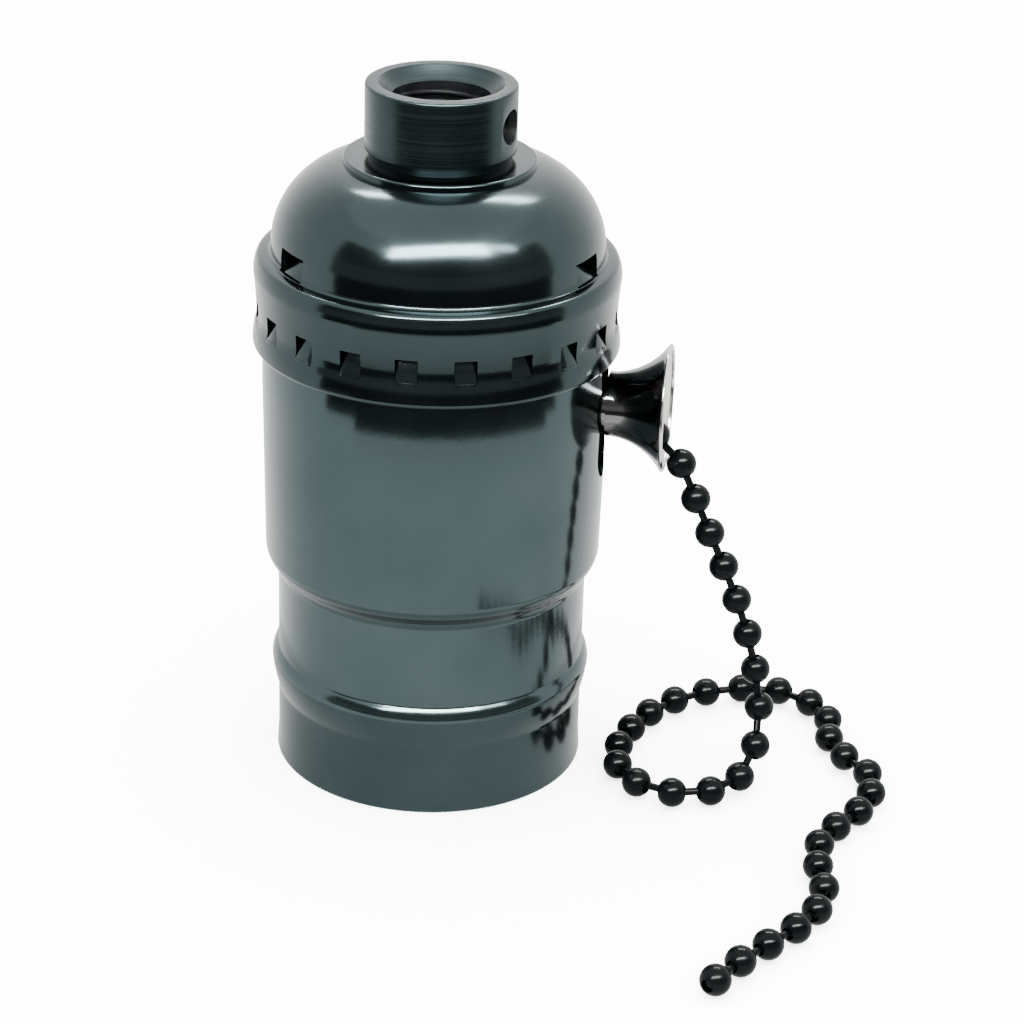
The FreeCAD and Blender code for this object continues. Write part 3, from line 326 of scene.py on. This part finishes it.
def dull(name, colour, darker, roughness, grain=500, depth=0.05, gloss=0.5):
    material, surface = shader(name, colour, 0.0, roughness[0])
    surface.inputs["Specular IOR Level"].default_value = gloss
    links = material.node_tree.links
    cloud = noise(material, grain, 6)
    tint = tinted(material, spread(material, cloud, 0, 1), colour, darker)
    links.new(tint, surface.inputs["Base Color"])
    links.new(spread(material, cloud, *roughness), surface.inputs["Roughness"])
    bumped(material, surface, [(cloud, 0.4, depth)])
    return material


painted = pearlPaint("shellPaint", 1.0)
# the cap's copy of the shell paint, darkened: painted shade
capShadedPaint = pearlPaint("capPaintShaded", paint["capPaintedShade"])
hubPaint = turnedPaint()
chainBlack = blackGloss()
# near-black, barely glossy: the bore's black paint, with painted shade deep in the bore and the set
# screw's hole
boreTonesAndShade = (0.003, 0.004, 0.004), (0.001, 0.001, 0.002)
boreBlackAndShade = dull("boreBlackAndShade", *boreTonesAndShade, (0.4, 0.55), 700, 0.01, gloss=0.08)
nickel = plated("nickelPlate", (0.72, 0.71, 0.68), (0.60, 0.59, 0.56), (0.08, 0.15))
# a darkened copy of the nickel plating: painted shade and dark reflection on the bell's body, the
# set screw and the chain guide
shadedNickel = plated("shadedNickelPlate", (0.17, 0.17, 0.17), (0.11, 0.11, 0.115), (0.06, 0.12))
steel = plated("zincSteel", (0.50, 0.50, 0.50), (0.36, 0.36, 0.37), (0.25, 0.42))
brass = plated("plainBrass", (0.70, 0.50, 0.22), (0.52, 0.35, 0.14), (0.22, 0.38))
rolledMetal = plated("rolledAluminium", (0.74, 0.74, 0.75), (0.58, 0.58, 0.60), (0.20, 0.34))
fibre = dull("vulcanFibre", (0.030, 0.022, 0.017), (0.020, 0.014, 0.011), (0.6, 0.8), gloss=0.3)
phenolic = dull("darkPhenolic", (0.035, 0.024, 0.02), (0.02, 0.014, 0.012), (0.28, 0.42), 700, 0.02)
cream = dull("creamPlastic", (0.62, 0.55, 0.42), (0.52, 0.45, 0.33), (0.35, 0.5), 600, 0.02)
print("materials made")

# Outer shell: a drawn tube with a bead near its mouth and a shoulder above

shell = {
    "rim": 16.45,
    "flare": 0.15,
    "flareHeight": 2.4,
    "wall": 0.5,
    "beadFoot": 7.4,
    "beadCrown": 10.9,
    "beadTop": 12.35,
    "beadRise": 0.68,
    "beadCurve": 14,
    "shoulderFoot": 21.2,
    "shoulderTop": 24.4,
    "shoulderCurve": 2.3,
    "upper": 18.1,
    "draft": 0.3,
    "tuckFoot": 43.0,
    "tuck": 0.45,
    "tuckCurve": 34,
    "grooveLow": 48.9,
    "grooveHigh": 52.5,
    "grooveDepth": 0.95,
    "top": 54.0,
    "slotWidth": 6.6,
    "slotFoot": 33.4,
}


def shellSide(inset):
    # the wall from the mouth up, drawn outside or inset by the wall
    low = shell["upper"] - shell["draft"]
    middle = ((shell["rim"] + low) / 2, (shell["shoulderFoot"] + shell["shoulderTop"]) / 2)
    deep = shell["upper"] - shell["grooveDepth"] - inset
    side = [
        (shell["rim"] + shell["flare"] - inset, 0),
        (shell["rim"] - inset, shell["flareHeight"]),
        (shell["rim"] - inset, shell["beadFoot"]),
        (shell["rim"] + 0.07 - inset, shell["beadFoot"] + 0.5, -1.7),
        (shell["rim"] + shell["beadRise"] - inset, shell["beadCrown"], shell["beadCurve"]),
        (shell["rim"] + 0.06 - inset, shell["beadTop"], 2.2),
        (shell["rim"] - inset, shell["beadTop"] + 0.2, -0.4),
        (shell["rim"] - inset, shell["shoulderFoot"]),
        (middle[0] - inset, middle[1], -shell["shoulderCurve"]),
        (low - inset, shell["shoulderTop"], shell["shoulderCurve"]),
        (shell["upper"] - inset, shell["tuckFoot"]),
        (shell["upper"] - shell["tuck"] - inset, shell["grooveLow"], shell["tuckCurve"]),
        (deep, shell["grooveLow"] + shell["grooveDepth"]),
        (deep, shell["grooveHigh"] - shell["grooveDepth"] / 2),
        (shell["upper"] - 0.05 - inset, shell["grooveHigh"] + 0.1),
        (shell["upper"] - 0.05 - inset, shell["top"]),
    ]
    return roundPath(side, 12)


def makeShell():
    outline = shellSide(0) + list(reversed(shellSide(shell["wall"])))
    piece = turned("shellTube", outline, 160)
    width = shell["slotWidth"]
    bottom = shell["slotFoot"] + width / 2
    over = shell["top"] + 2
    tool = box("slotTool", (8, width, over - bottom), (20, 0, (over + bottom) / 2))
    # the slot's foot is round, and the rest runs out through the top
    cutWith(piece, rodAlongX(width / 2, 8, (20, 0, bottom)))
    cutWith(piece, tool)
    smooth(piece)
    dress(piece, painted, nodes=["outer_shell"])
    print("shell made")


makeShell()

# Cap: dome, ledge and skirt in one pressing, with lanced tabs

cap = {
    "wall": 0.5,
    "lip": 18.25,
    "foot": 47.1,
    # places on the outside: out, up and the radius of the arc that ends there
    "curl": (19.07, 47.65, 0.5),
    "skirtLow": (18.80, 49.5, 8),
    "waist": (18.64, 50.5, -6),
    "bulge": (18.97, 55.0, -60),
    "shoulder": (18.68, 56.4, 3.4),
    "flangeEdge": (18.3, 56.74, 0.6),
    "flange": 56.85,
    "domeFoot": 57.3,
    "domeFillet": 0.45,
    "domeCurve": 8.8,
    "domeCentre": (8.4, 57.7),
    "ledge": 9.4,
    "ledgeStep": 0.5,
    "ledgeRound": 0.25,
    "ledgeTop": 67.1,
    "hole": 6.05,
    "tabs": 20,
    "tabWidth": 2.3,
    "tabFoot": 49.7,
    "tabTop": 52.1,
    "tabLean": 0.95,
    "lugs": 3,
    "lugTurn": -20.0,
    "lugWidth": 4.4,
    "lugFoot": 56.9,
    "lugTop": 59.3,
    "lugLean": 1.3,
    "lugReach": 0.6,  # how much of its opening a lug fills
}


def domeRadius(height, inset=0):
    # how far out the dome's arc is at a height
    out, up = cap["domeCentre"]
    return out + math.sqrt((cap["domeCurve"] - inset) ** 2 - (height - up) ** 2)


def domeHeight(radius, inset=0):
    # how high the dome's arc is at a distance out
    out, up = cap["domeCentre"]
    return up + math.sqrt((cap["domeCurve"] - inset) ** 2 - (radius - out) ** 2)


def capOutline():
    wall, flange = cap["wall"], cap["flange"]
    outerLedge = cap["ledge"] + cap["ledgeStep"]
    ledgeRound = cap["ledgeRound"]
    domeFoot = domeRadius(cap["domeFoot"])
    return roundPath(
        [
            (cap["lip"], cap["foot"]),
            (cap["lip"] + 0.45, cap["foot"]),
            cap["curl"],
            cap["skirtLow"],
            cap["waist"],
            cap["bulge"],
            cap["shoulder"],
            cap["flangeEdge"],
            (domeFoot + 0.43, flange),
            (domeFoot, cap["domeFoot"], -cap["domeFillet"]),
            (outerLedge, domeHeight(outerLedge), cap["domeCurve"]),
            (outerLedge, cap["ledgeTop"] - ledgeRound),
            (outerLedge - ledgeRound, cap["ledgeTop"], ledgeRound),
            (cap["hole"], cap["ledgeTop"]),
            (cap["hole"], cap["ledgeTop"] - wall),
            (cap["ledge"] - 0.3, cap["ledgeTop"] - wall),
            (outerLedge, domeHeight(outerLedge, wall)),
            (domeRadius(cap["domeFoot"], wall), cap["domeFoot"], -(cap["domeCurve"] - wall)),
            (domeFoot - wall, flange - wall),
            (cap["flangeEdge"][0] - wall, flange - wall),
            (cap["bulge"][0] - wall, cap["bulge"][1], -2.4),
            (cap["waist"][0] - wall, cap["waist"][1]),
            (cap["skirtLow"][0] - wall, cap["skirtLow"][1]),
            (cap["curl"][0] - wall, cap["curl"][1] + 0.2),
        ],
        12,
    )


def lancedTab(width, foot, top, face, lean):
    # a tab hinged at its foot, with its top pressed in
    middle = (foot + top) / 2
    centre = (face - cap["wall"] / 2, 0, middle - 0.15)
    tab = box("tab", (cap["wall"], width - 0.1, top - foot + 0.2), centre)
    moveVerts(tab, lambda place: place.z > middle, (-lean, 0, 0))
    softEdges(tab, 0.04)
    return tab


def makeCap():
    piece = turned("capPressing", capOutline(), 160)
    skirtFace = cap["waist"][0] + 0.17
    domeFace = domeRadius(cap["domeFoot"])
    skirtRow = (cap["tabs"], 0, cap["tabWidth"], cap["tabFoot"], cap["tabTop"])
    domeRow = (cap["lugs"], cap["lugTurn"], cap["lugWidth"], cap["lugFoot"], cap["lugTop"])
    rows = [
        (*skirtRow, skirtFace, cap["tabLean"], 1),
        (*domeRow, domeFace, cap["lugLean"], cap["lugReach"]),
    ]
    tabs = []
    for count, turn, width, foot, top, face, lean, reach in rows:
        window = box("window", (4, width, top - foot), (face, 0, (foot + top) / 2))
        cutWith(piece, ringOf(window, count, turn))
        tab = lancedTab(width, foot, foot + reach * (top - foot), face, lean)
        tabs.append(ringOf(tab, count, turn))
    smooth(piece, 30)
    for tab in tabs:
        smooth(tab, 30)
    piece = joined([piece, *tabs])
    dress(piece, capShadedPaint, nodes=["cap"])
    print("cap made")


makeCap()

# Hub: a turned collar with a wide countersink and a thread inside

hub = {
    "radius": 7.75,
    "foot": 68.0,
    "top": 74.8,
    "edge": 0.3,
    "neck": 7.3,
    "spigot": 6.0,
    "spigotFlare": 0.9,
    "flareThickness": 0.8,
    "under": 66.6,
    "bore": 5.0,
    "crest": 4.5,
    "sink": 6.4,
    "sinkDepth": 1.4,
    "sinkCurve": 9,
    "pitch": 0.94,
    "screwTurn": -15,
    "screwHeight": 71.2,
    "screwHole": 1.8,
}


def makeHub():
    under, top = hub["under"], hub["top"]
    outline = roundPath(
        [
            (hub["bore"], under - hub["flareThickness"]),
            (hub["spigot"] + hub["spigotFlare"], under - hub["flareThickness"]),
            (hub["spigot"] + hub["spigotFlare"], under),
            (hub["spigot"], under),
            (hub["spigot"], under + 0.5),
            (hub["neck"], under + 0.5),
            (hub["neck"], hub["foot"] - 0.1),
            (hub["radius"] - 0.15, hub["foot"] - 0.1),
            (hub["radius"], hub["foot"] + 0.1, 0.2),
            (hub["radius"], top - hub["edge"]),
            (hub["radius"] - hub["edge"], top, hub["edge"]),
            (hub["sink"], top),
            (hub["bore"] + 0.35, top - hub["sinkDepth"] + 0.3, -hub["sinkCurve"]),
            (hub["bore"], top - hub["sinkDepth"]),
        ],
        8,
    )
    piece = turned("hubCollar", outline, 128)
    tool = rodAlongX(hub["screwHole"], 9, (5.5, 0, hub["screwHeight"]))
    tool.data.transform(Matrix.Rotation(math.radians(hub["screwTurn"]), 4, "Z"))
    cutWith(piece, tool)
    softEdges(piece, 0.1, 50)
    smooth(piece)
    thread = makeThread()
    piece = joined([piece, thread])
    dress(piece, hubPaint, nodes=["hub"])
    # the bore and the screw's hole are near-black inside: the bore's black paint, with painted
    # shade for the depth of the bore and the hole
    piece.data.materials.append(boreBlackAndShade)
    back = Matrix.Rotation(math.radians(-hub["screwTurn"]), 3, "Z")
    for face in piece.data.polygons:
        place = back @ face.center / mm
        reach = math.hypot(place.x, place.y)
        inBore = reach < hub["bore"] + 0.3 and place.z < hub["top"] - hub["sinkDepth"]
        fromScrew = math.hypot(place.y, place.z - hub["screwHeight"])
        inHole = fromScrew < hub["screwHole"] and reach < hub["radius"] - 0.1 and place.x > 0
        if inBore or inHole:
            face.material_index = 1
    print("hub made")


def makeThread():
    # one ridge that winds up the bore
    low = hub["under"] - hub["flareThickness"] + 0.1
    turns = int((hub["top"] - hub["sinkDepth"] - low) / hub["pitch"])
    half = hub["pitch"] * 0.46
    root = hub["bore"] + 0.1  # a little into the wall
    points = [(root, low), (hub["crest"], low + half), (root, low + 2 * half)]
    bpy.ops.object.select_all(action="DESELECT")
    bpy.ops.mesh.primitive_circle_add(vertices=3, radius=mm, fill_type="NOTHING")
    ridge = bpy.context.object
    ridge.name = "thread"
    for vert, point in zip(ridge.data.vertices, points):
        vert.co = (point[0] * mm, 0, point[1] * mm)
    onlySelect(ridge)
    screw = ridge.modifiers.new("Wind", "SCREW")
    screw.steps = 64
    screw.render_steps = 64
    screw.screw_offset = hub["pitch"] * mm
    screw.iterations = turns
    bpy.ops.object.modifier_apply(modifier=screw.name)
    bpy.ops.object.mode_set(mode="EDIT")
    bpy.ops.mesh.select_all(action="DESELECT")
    bpy.ops.mesh.select_non_manifold()
    bpy.ops.mesh.edge_face_add()
    bpy.ops.mesh.select_all(action="SELECT")
    bpy.ops.mesh.normals_make_consistent(inside=False)
    bpy.ops.object.mode_set(mode="OBJECT")
    return ridge


makeHub()

# Bell: a thin flared mouthpiece with a rolled rim, round the chain's guide

bell = {
    "height": 41.5,
    "guide": 2.64,
    "neck": 3.4,
    "step": 18.2,
    "neckEnd": 18.9,
    "mouth": 24.3,
    "radius": 6.6,
    "wall": 0.35,
    "curve": 7.3,
    "rim": 0.22,
}


def makeBell():
    mouth, radius, rim = bell["mouth"], bell["radius"], bell["rim"]
    outline = roundPath(
        [
            (bell["step"], bell["guide"]),
            (bell["neckEnd"] + 0.9, bell["guide"]),
            (mouth - 0.1, radius - bell["wall"], bell["curve"]),
            (mouth + rim, radius - rim, rim * 1.6),
            (mouth, radius + rim * 0.6, rim * 1.9),
            (mouth - rim, radius - 0.05, rim * 1.6),
            (bell["neckEnd"], bell["neck"], -bell["curve"]),
            (bell["step"], bell["neck"]),
        ],
        16,
    )
    piece = turned("pullBell", outline, 112, (0, 0, bell["height"]), "X")
    smooth(piece, 50)
    dress(piece, shadedNickel, nodes=["pull_bell"])
    # the rim and the face inside the mouth get the bright nickel and the rest of the bell the
    # darkened copy: painted reflection and shade on one plating
    piece.data.materials.append(nickel)
    for face in piece.data.polygons:
        place = face.center / mm
        reach = math.hypot(place.y, place.z - bell["height"])
        if place.x > mouth - rim or (face.normal.x > 0.25 and reach > bell["guide"] + 0.3):
            face.material_index = 1
    print("bell made")


makeBell()

# Chain: balls and links strung along the chain's lay

chain = {
    "ball": 3.2,
    "pitch": 4.25,
    "link": 0.42,
    "linkStart": 0.75,  # how far out of a ball's centre a link starts, as a share of its radius
    "hole": 0.72,
    "holeEdge": 0.06,
    "holeDepth": 0.45,
    "floor": 1.65,
}
floorHeight = chain["floor"]
chainRoute = [
    (2.4, 0.0, 41.5),
    (23.5, 0.0, 41.4),
    (28.6, -0.1, 29.9),
    (34.1, 1.1, 17.1),
    (36.5, 0.5, 6.7),
    (35.6, -5.2, floorHeight),
    (31.0, -10.1, floorHeight),
    (24.5, -9.8, floorHeight),
    (20.4, -4.1, floorHeight),
    (22.6, 6.0, floorHeight),
    (28.0, 13.0, floorHeight),
    (37.5, 16.4, floorHeight),
    (44.0, 10.6, floorHeight),
    (43.5, 3.4, floorHeight),
    (49.4, -2.1, floorHeight),
    (48.2, -9.9, floorHeight),
    (44.0, -15.6, floorHeight),
    (43.6, -21.1, floorHeight),
    (45.4, -28.0, floorHeight),
    (42.2, -34.8, floorHeight),
    (38.0, -39.6, floorHeight),
    (35.3, -44.6, floorHeight),
]


def routePoints():
    # the smooth line that the route's points pull on
    curve = bpy.data.curves.new("chainLine", "CURVE")
    curve.dimensions = "3D"
    line = curve.splines.new("NURBS")
    line.points.add(len(chainRoute) - 1)
    for point, place in zip(line.points, chainRoute):
        point.co = (*(Vector(place) * mm), 1)
    line.order_u = 3
    line.use_endpoint_u = True
    line.resolution_u = 24
    guide = bpy.data.objects.new("chainLine", curve)
    bpy.context.collection.objects.link(guide)
    bpy.context.view_layer.update()
    mesh = bpy.data.meshes.new_from_object(guide)
    points = [vert.co.copy() for vert in mesh.vertices]
    bpy.data.objects.remove(guide)
    bpy.data.meshes.remove(mesh)
    return points


def evenly(points, pitch):
    # places along a line of points, a pitch apart
    lengths = [(after - before).length for before, after in zip(points, points[1:])]
    total = sum(lengths)
    count = round(total / pitch)
    places = []
    walked, index = 0.0, 0
    for step in range(count + 1):
        target = total * step / count
        while index < len(lengths) - 1 and walked + lengths[index] < target:
            walked += lengths[index]
            index += 1
        places.append(points[index].lerp(points[index + 1], (target - walked) / lengths[index]))
    return places, total


def oneBall():
    # a ball with a dimple at each end, where the links go in
    bpy.ops.object.select_all(action="DESELECT")
    bpy.ops.mesh.primitive_uv_sphere_add(segments=28, ring_count=20, radius=chain["ball"] / 2 * mm)
    ball = bpy.context.object
    bpy.ops.object.mode_set(mode="EDIT")
    for end in (1, -1):
        bpy.ops.mesh.select_all(action="DESELECT")
        bpy.ops.object.mode_set(mode="OBJECT")
        reach = math.sqrt((chain["ball"] / 2) ** 2 - chain["hole"] ** 2) * 0.97
        for face in ball.data.polygons:
            face.select = face.center.z * end > reach * mm
        bpy.ops.object.mode_set(mode="EDIT")
        bpy.ops.mesh.inset(thickness=chain["holeEdge"] * mm)
        inward = (0, 0, -end * chain["holeDepth"] * mm)
        bpy.ops.mesh.extrude_region_move(TRANSFORM_OT_translate={"value": inward})
    bpy.ops.object.mode_set(mode="OBJECT")
    return ball


def oneLink():
    # a thin pin a millimetre long, stretched later to fit its gap
    bpy.ops.object.select_all(action="DESELECT")
    bpy.ops.mesh.primitive_cylinder_add(vertices=14, radius=chain["link"] * mm, depth=mm)
    return bpy.context.object


def makeChain():
    points = routePoints()
    places, total = evenly(points, chain["pitch"] * mm)
    ball, link = oneBall(), oneLink()
    beads = []
    for index, place in enumerate(places):
        ahead = places[min(index + 1, len(places) - 1)] - places[max(index - 1, 0)]
        other = ball.copy()
        other.data = ball.data.copy()
        bpy.context.collection.objects.link(other)
        turn = ahead.to_track_quat("Z", "Y").to_matrix().to_4x4()
        other.data.transform(Matrix.Translation(place) @ turn)
        beads.append(other)
    gap = chain["ball"] / 2 * mm * chain["linkStart"]
    for before, after in zip(places, places[1:]):
        way = after - before
        length = way.length - 2 * gap
        other = link.copy()
        other.data = link.data.copy()
        bpy.context.collection.objects.link(other)
        stretch = Matrix.Diagonal((1, 1, length / mm, 1))
        turn = way.to_track_quat("Z", "Y").to_matrix().to_4x4()
        other.data.transform(Matrix.Translation((before + after) / 2) @ turn @ stretch)
        beads.append(other)
    bpy.data.objects.remove(ball)
    bpy.data.objects.remove(link)
    piece = joined(beads)
    piece.name = "pullChain"
    smooth(piece, 40)
    dress(piece, chainBlack, body="pull", nodes=["ball_chain"])
    print("chain made: %.1f mm, %d balls" % (total / mm, len(places)))


makeChain()

# Pieces inside, which keep their own shapes

insides = {
    # the set screw: darkened nickel, painted shade in its hole
    "set_screw": shadedNickel,
    "insulating_sleeve": fibre,
    "cap_liner": fibre,
    "screw_shell": rolledMetal,
    "socket_base": phenolic,
    "switch_housing": phenolic,
    "housing_cover": phenolic,
    "assembly_screws": steel,
    "shell_rivets": brass,
    "centre_contact": brass,
    "contact_rivet": brass,
    "hot_contact": brass,
    "line_contact": brass,
    "line_terminal": brass,
    "neutral_terminal": nickel,
    "line_screw": brass,
    "neutral_screw": nickel,
    "switch_shaft": steel,
    "rotor_drum": cream,
    "contact_cross": brass,
    "ratchet_wheel": steel,
    "pull_lever": steel,
    "pawl": steel,
    "return_spring": steel,
    # the chain guide: darkened nickel, painted shade under the bell
    "chain_guide": shadedNickel,
    "chain_coupling": brass,
}
for nodeName, material in insides.items():
    for slot in bpy.data.objects[nodeName].material_slots:
        slot.material = material
print("inner pieces finished")

# Floor, lights and camera

studio = {
    "floor": (0.86, 0.86, 0.86),
    "floorGlow": 2.0,
    "world": 14.0,
    "lights": [
        # name, place in mm, aim in mm, size in mm, watts
        ("overhead", (0, 40, 640), (0, 0, 40), (520, 520), 8.0),
        ("front", (220, -520, 420), (0, 0, 40), (300, 200), 4.0),
    ],
    # what the gloss mirrors, as rings of card round the socket: azimuths in degrees, then the
    # radius and height in mm of both edges, and how bright it is
    "rings": [
        # a dimmer ring next to the socket: painted shadow of the socket on the table, seen in
        # reflections
        ("shadedNearTable", (-180, 180), (0.5, 0.1), (38, 0.1), 1.35),
        ("paleTable", (-180, 180), (38, 0.05), (720, 0.05), 2.2),
        ("darkTable", (-131, -9), (120, 0.1), (150, 0.1), 0.08),
        ("farTable", (-152, -1), (150, 0.1), (700, 0.1), 0.1),
        ("darkWall", (-156, 1), (700, 0.1), (700, 200), 0.5),
        ("darkRoom", (-156, 1), (700, 200), (700, 520), 0.3),
        ("paleRoom", (-180, 180), (715, 0.1), (715, 900), 2.2),
        ("ceiling", (-180, 180), (0.5, 900), (715, 900), 2.8),
    ],
    # flat cards: the azimuth that each faces in degrees, its distance in mm, how far it runs to
    # the left and right, its low and high edge, and how bright it is
    "windows": [
        ("frontWindow", -71, 440, (-470, 260), (430, 640), 105.0),
        ("frontWindowEnd", -71, 440, (260, 900), (500, 640), 30.0),
        ("backWindow", 93, 440, (-300, 300), (560, 700), 62.0),
    ],
}


def glow(card, brightness):
    # a card that only reflections see
    material, surface = shader(card.name, (0, 0, 0), 0, 1, Specular_IOR_Level=0.0)
    surface.inputs["Emission Color"].default_value = (1, 1, 1, 1)
    surface.inputs["Emission Strength"].default_value = brightness
    card.data.materials.append(material)
    card.visible_camera = False
    card.visible_diffuse = False
    card.visible_shadow = False
    card.visible_transmission = False


def makeRing(name, azimuths, inner, outer, brightness):
    bpy.ops.object.select_all(action="DESELECT")
    bpy.ops.mesh.primitive_grid_add(x_subdivisions=48, y_subdivisions=1, size=2)
    card = bpy.context.object
    card.name = name
    for vert in card.data.vertices:
        azimuth = math.radians(azimuths[0] + (azimuths[1] - azimuths[0]) * (vert.co.x + 1) / 2)
        radius, height = Vector(inner).lerp(Vector(outer), (vert.co.y + 1) / 2)
        vert.co = Vector((radius * math.cos(azimuth), radius * math.sin(azimuth), height)) * mm
    glow(card, brightness)


def makeWindow(name, azimuth, distance, across, heights, brightness):
    bpy.ops.object.select_all(action="DESELECT")
    bpy.ops.mesh.primitive_plane_add(size=2)
    card = bpy.context.object
    card.name = name
    turn = Matrix.Rotation(math.radians(azimuth), 3, "Z")
    for vert in card.data.vertices:
        side = across[0] if vert.co.x < 0 else across[1]
        height = heights[0] if vert.co.y < 0 else heights[1]
        vert.co = turn @ Vector((distance, side, height)) * mm
    glow(card, brightness)


def makeStudio():
    bpy.ops.object.select_all(action="DESELECT")
    bpy.ops.mesh.primitive_plane_add(size=6, location=(0, 0, 0))
    ground = bpy.context.object
    ground.name = "ground"
    material, surface = shader("paperFloor", studio["floor"], 0, 0.75)
    surface.inputs["Emission Color"].default_value = (1, 1, 1, 1)
    surface.inputs["Emission Strength"].default_value = studio["floorGlow"]
    ground.data.materials.append(material)
    for settings in studio["rings"]:
        makeRing(*settings)
    for settings in studio["windows"]:
        makeWindow(*settings)
    world = bpy.context.scene.world or bpy.data.worlds.new("world")
    bpy.context.scene.world = world
    world.use_nodes = True
    sky = world.node_tree.nodes["Background"]
    sky.inputs["Color"].default_value = (1, 1, 1, 1)
    sky.inputs["Strength"].default_value = studio["world"]
    for name, place, aim, size, power in studio["lights"]:
        bpy.ops.object.light_add(type="AREA", location=Vector(place) * mm)
        light = bpy.context.object
        light.name = name
        light.data.shape = "RECTANGLE"
        light.data.size = size[0] * mm
        light.data.size_y = size[1] * mm
        light.data.energy = power
        light.visible_glossy = False
        light.rotation_euler = (Vector(aim) - Vector(place)).to_track_quat("-Z", "Y").to_euler()


makeStudio()

view = {
    "place": (45.43, -286.83, 162.16),
    "down": 24.87,
    "left": 7.34,
    "roll": 1.88,
    "lens": 105.47,
}


def makeCamera():
    bpy.ops.object.camera_add(location=Vector(view["place"]) * mm)
    camera = bpy.context.object
    level = Euler((math.radians(90 - view["down"]), 0, math.radians(view["left"]))).to_matrix()
    camera.rotation_euler = (level @ Matrix.Rotation(math.radians(view["roll"]), 3, "Z")).to_euler()
    camera.data.lens = view["lens"]
    camera.data.sensor_width = 36
    camera.data.clip_start = 0.01
    bpy.context.scene.camera = camera


makeCamera()

print("scene ready")
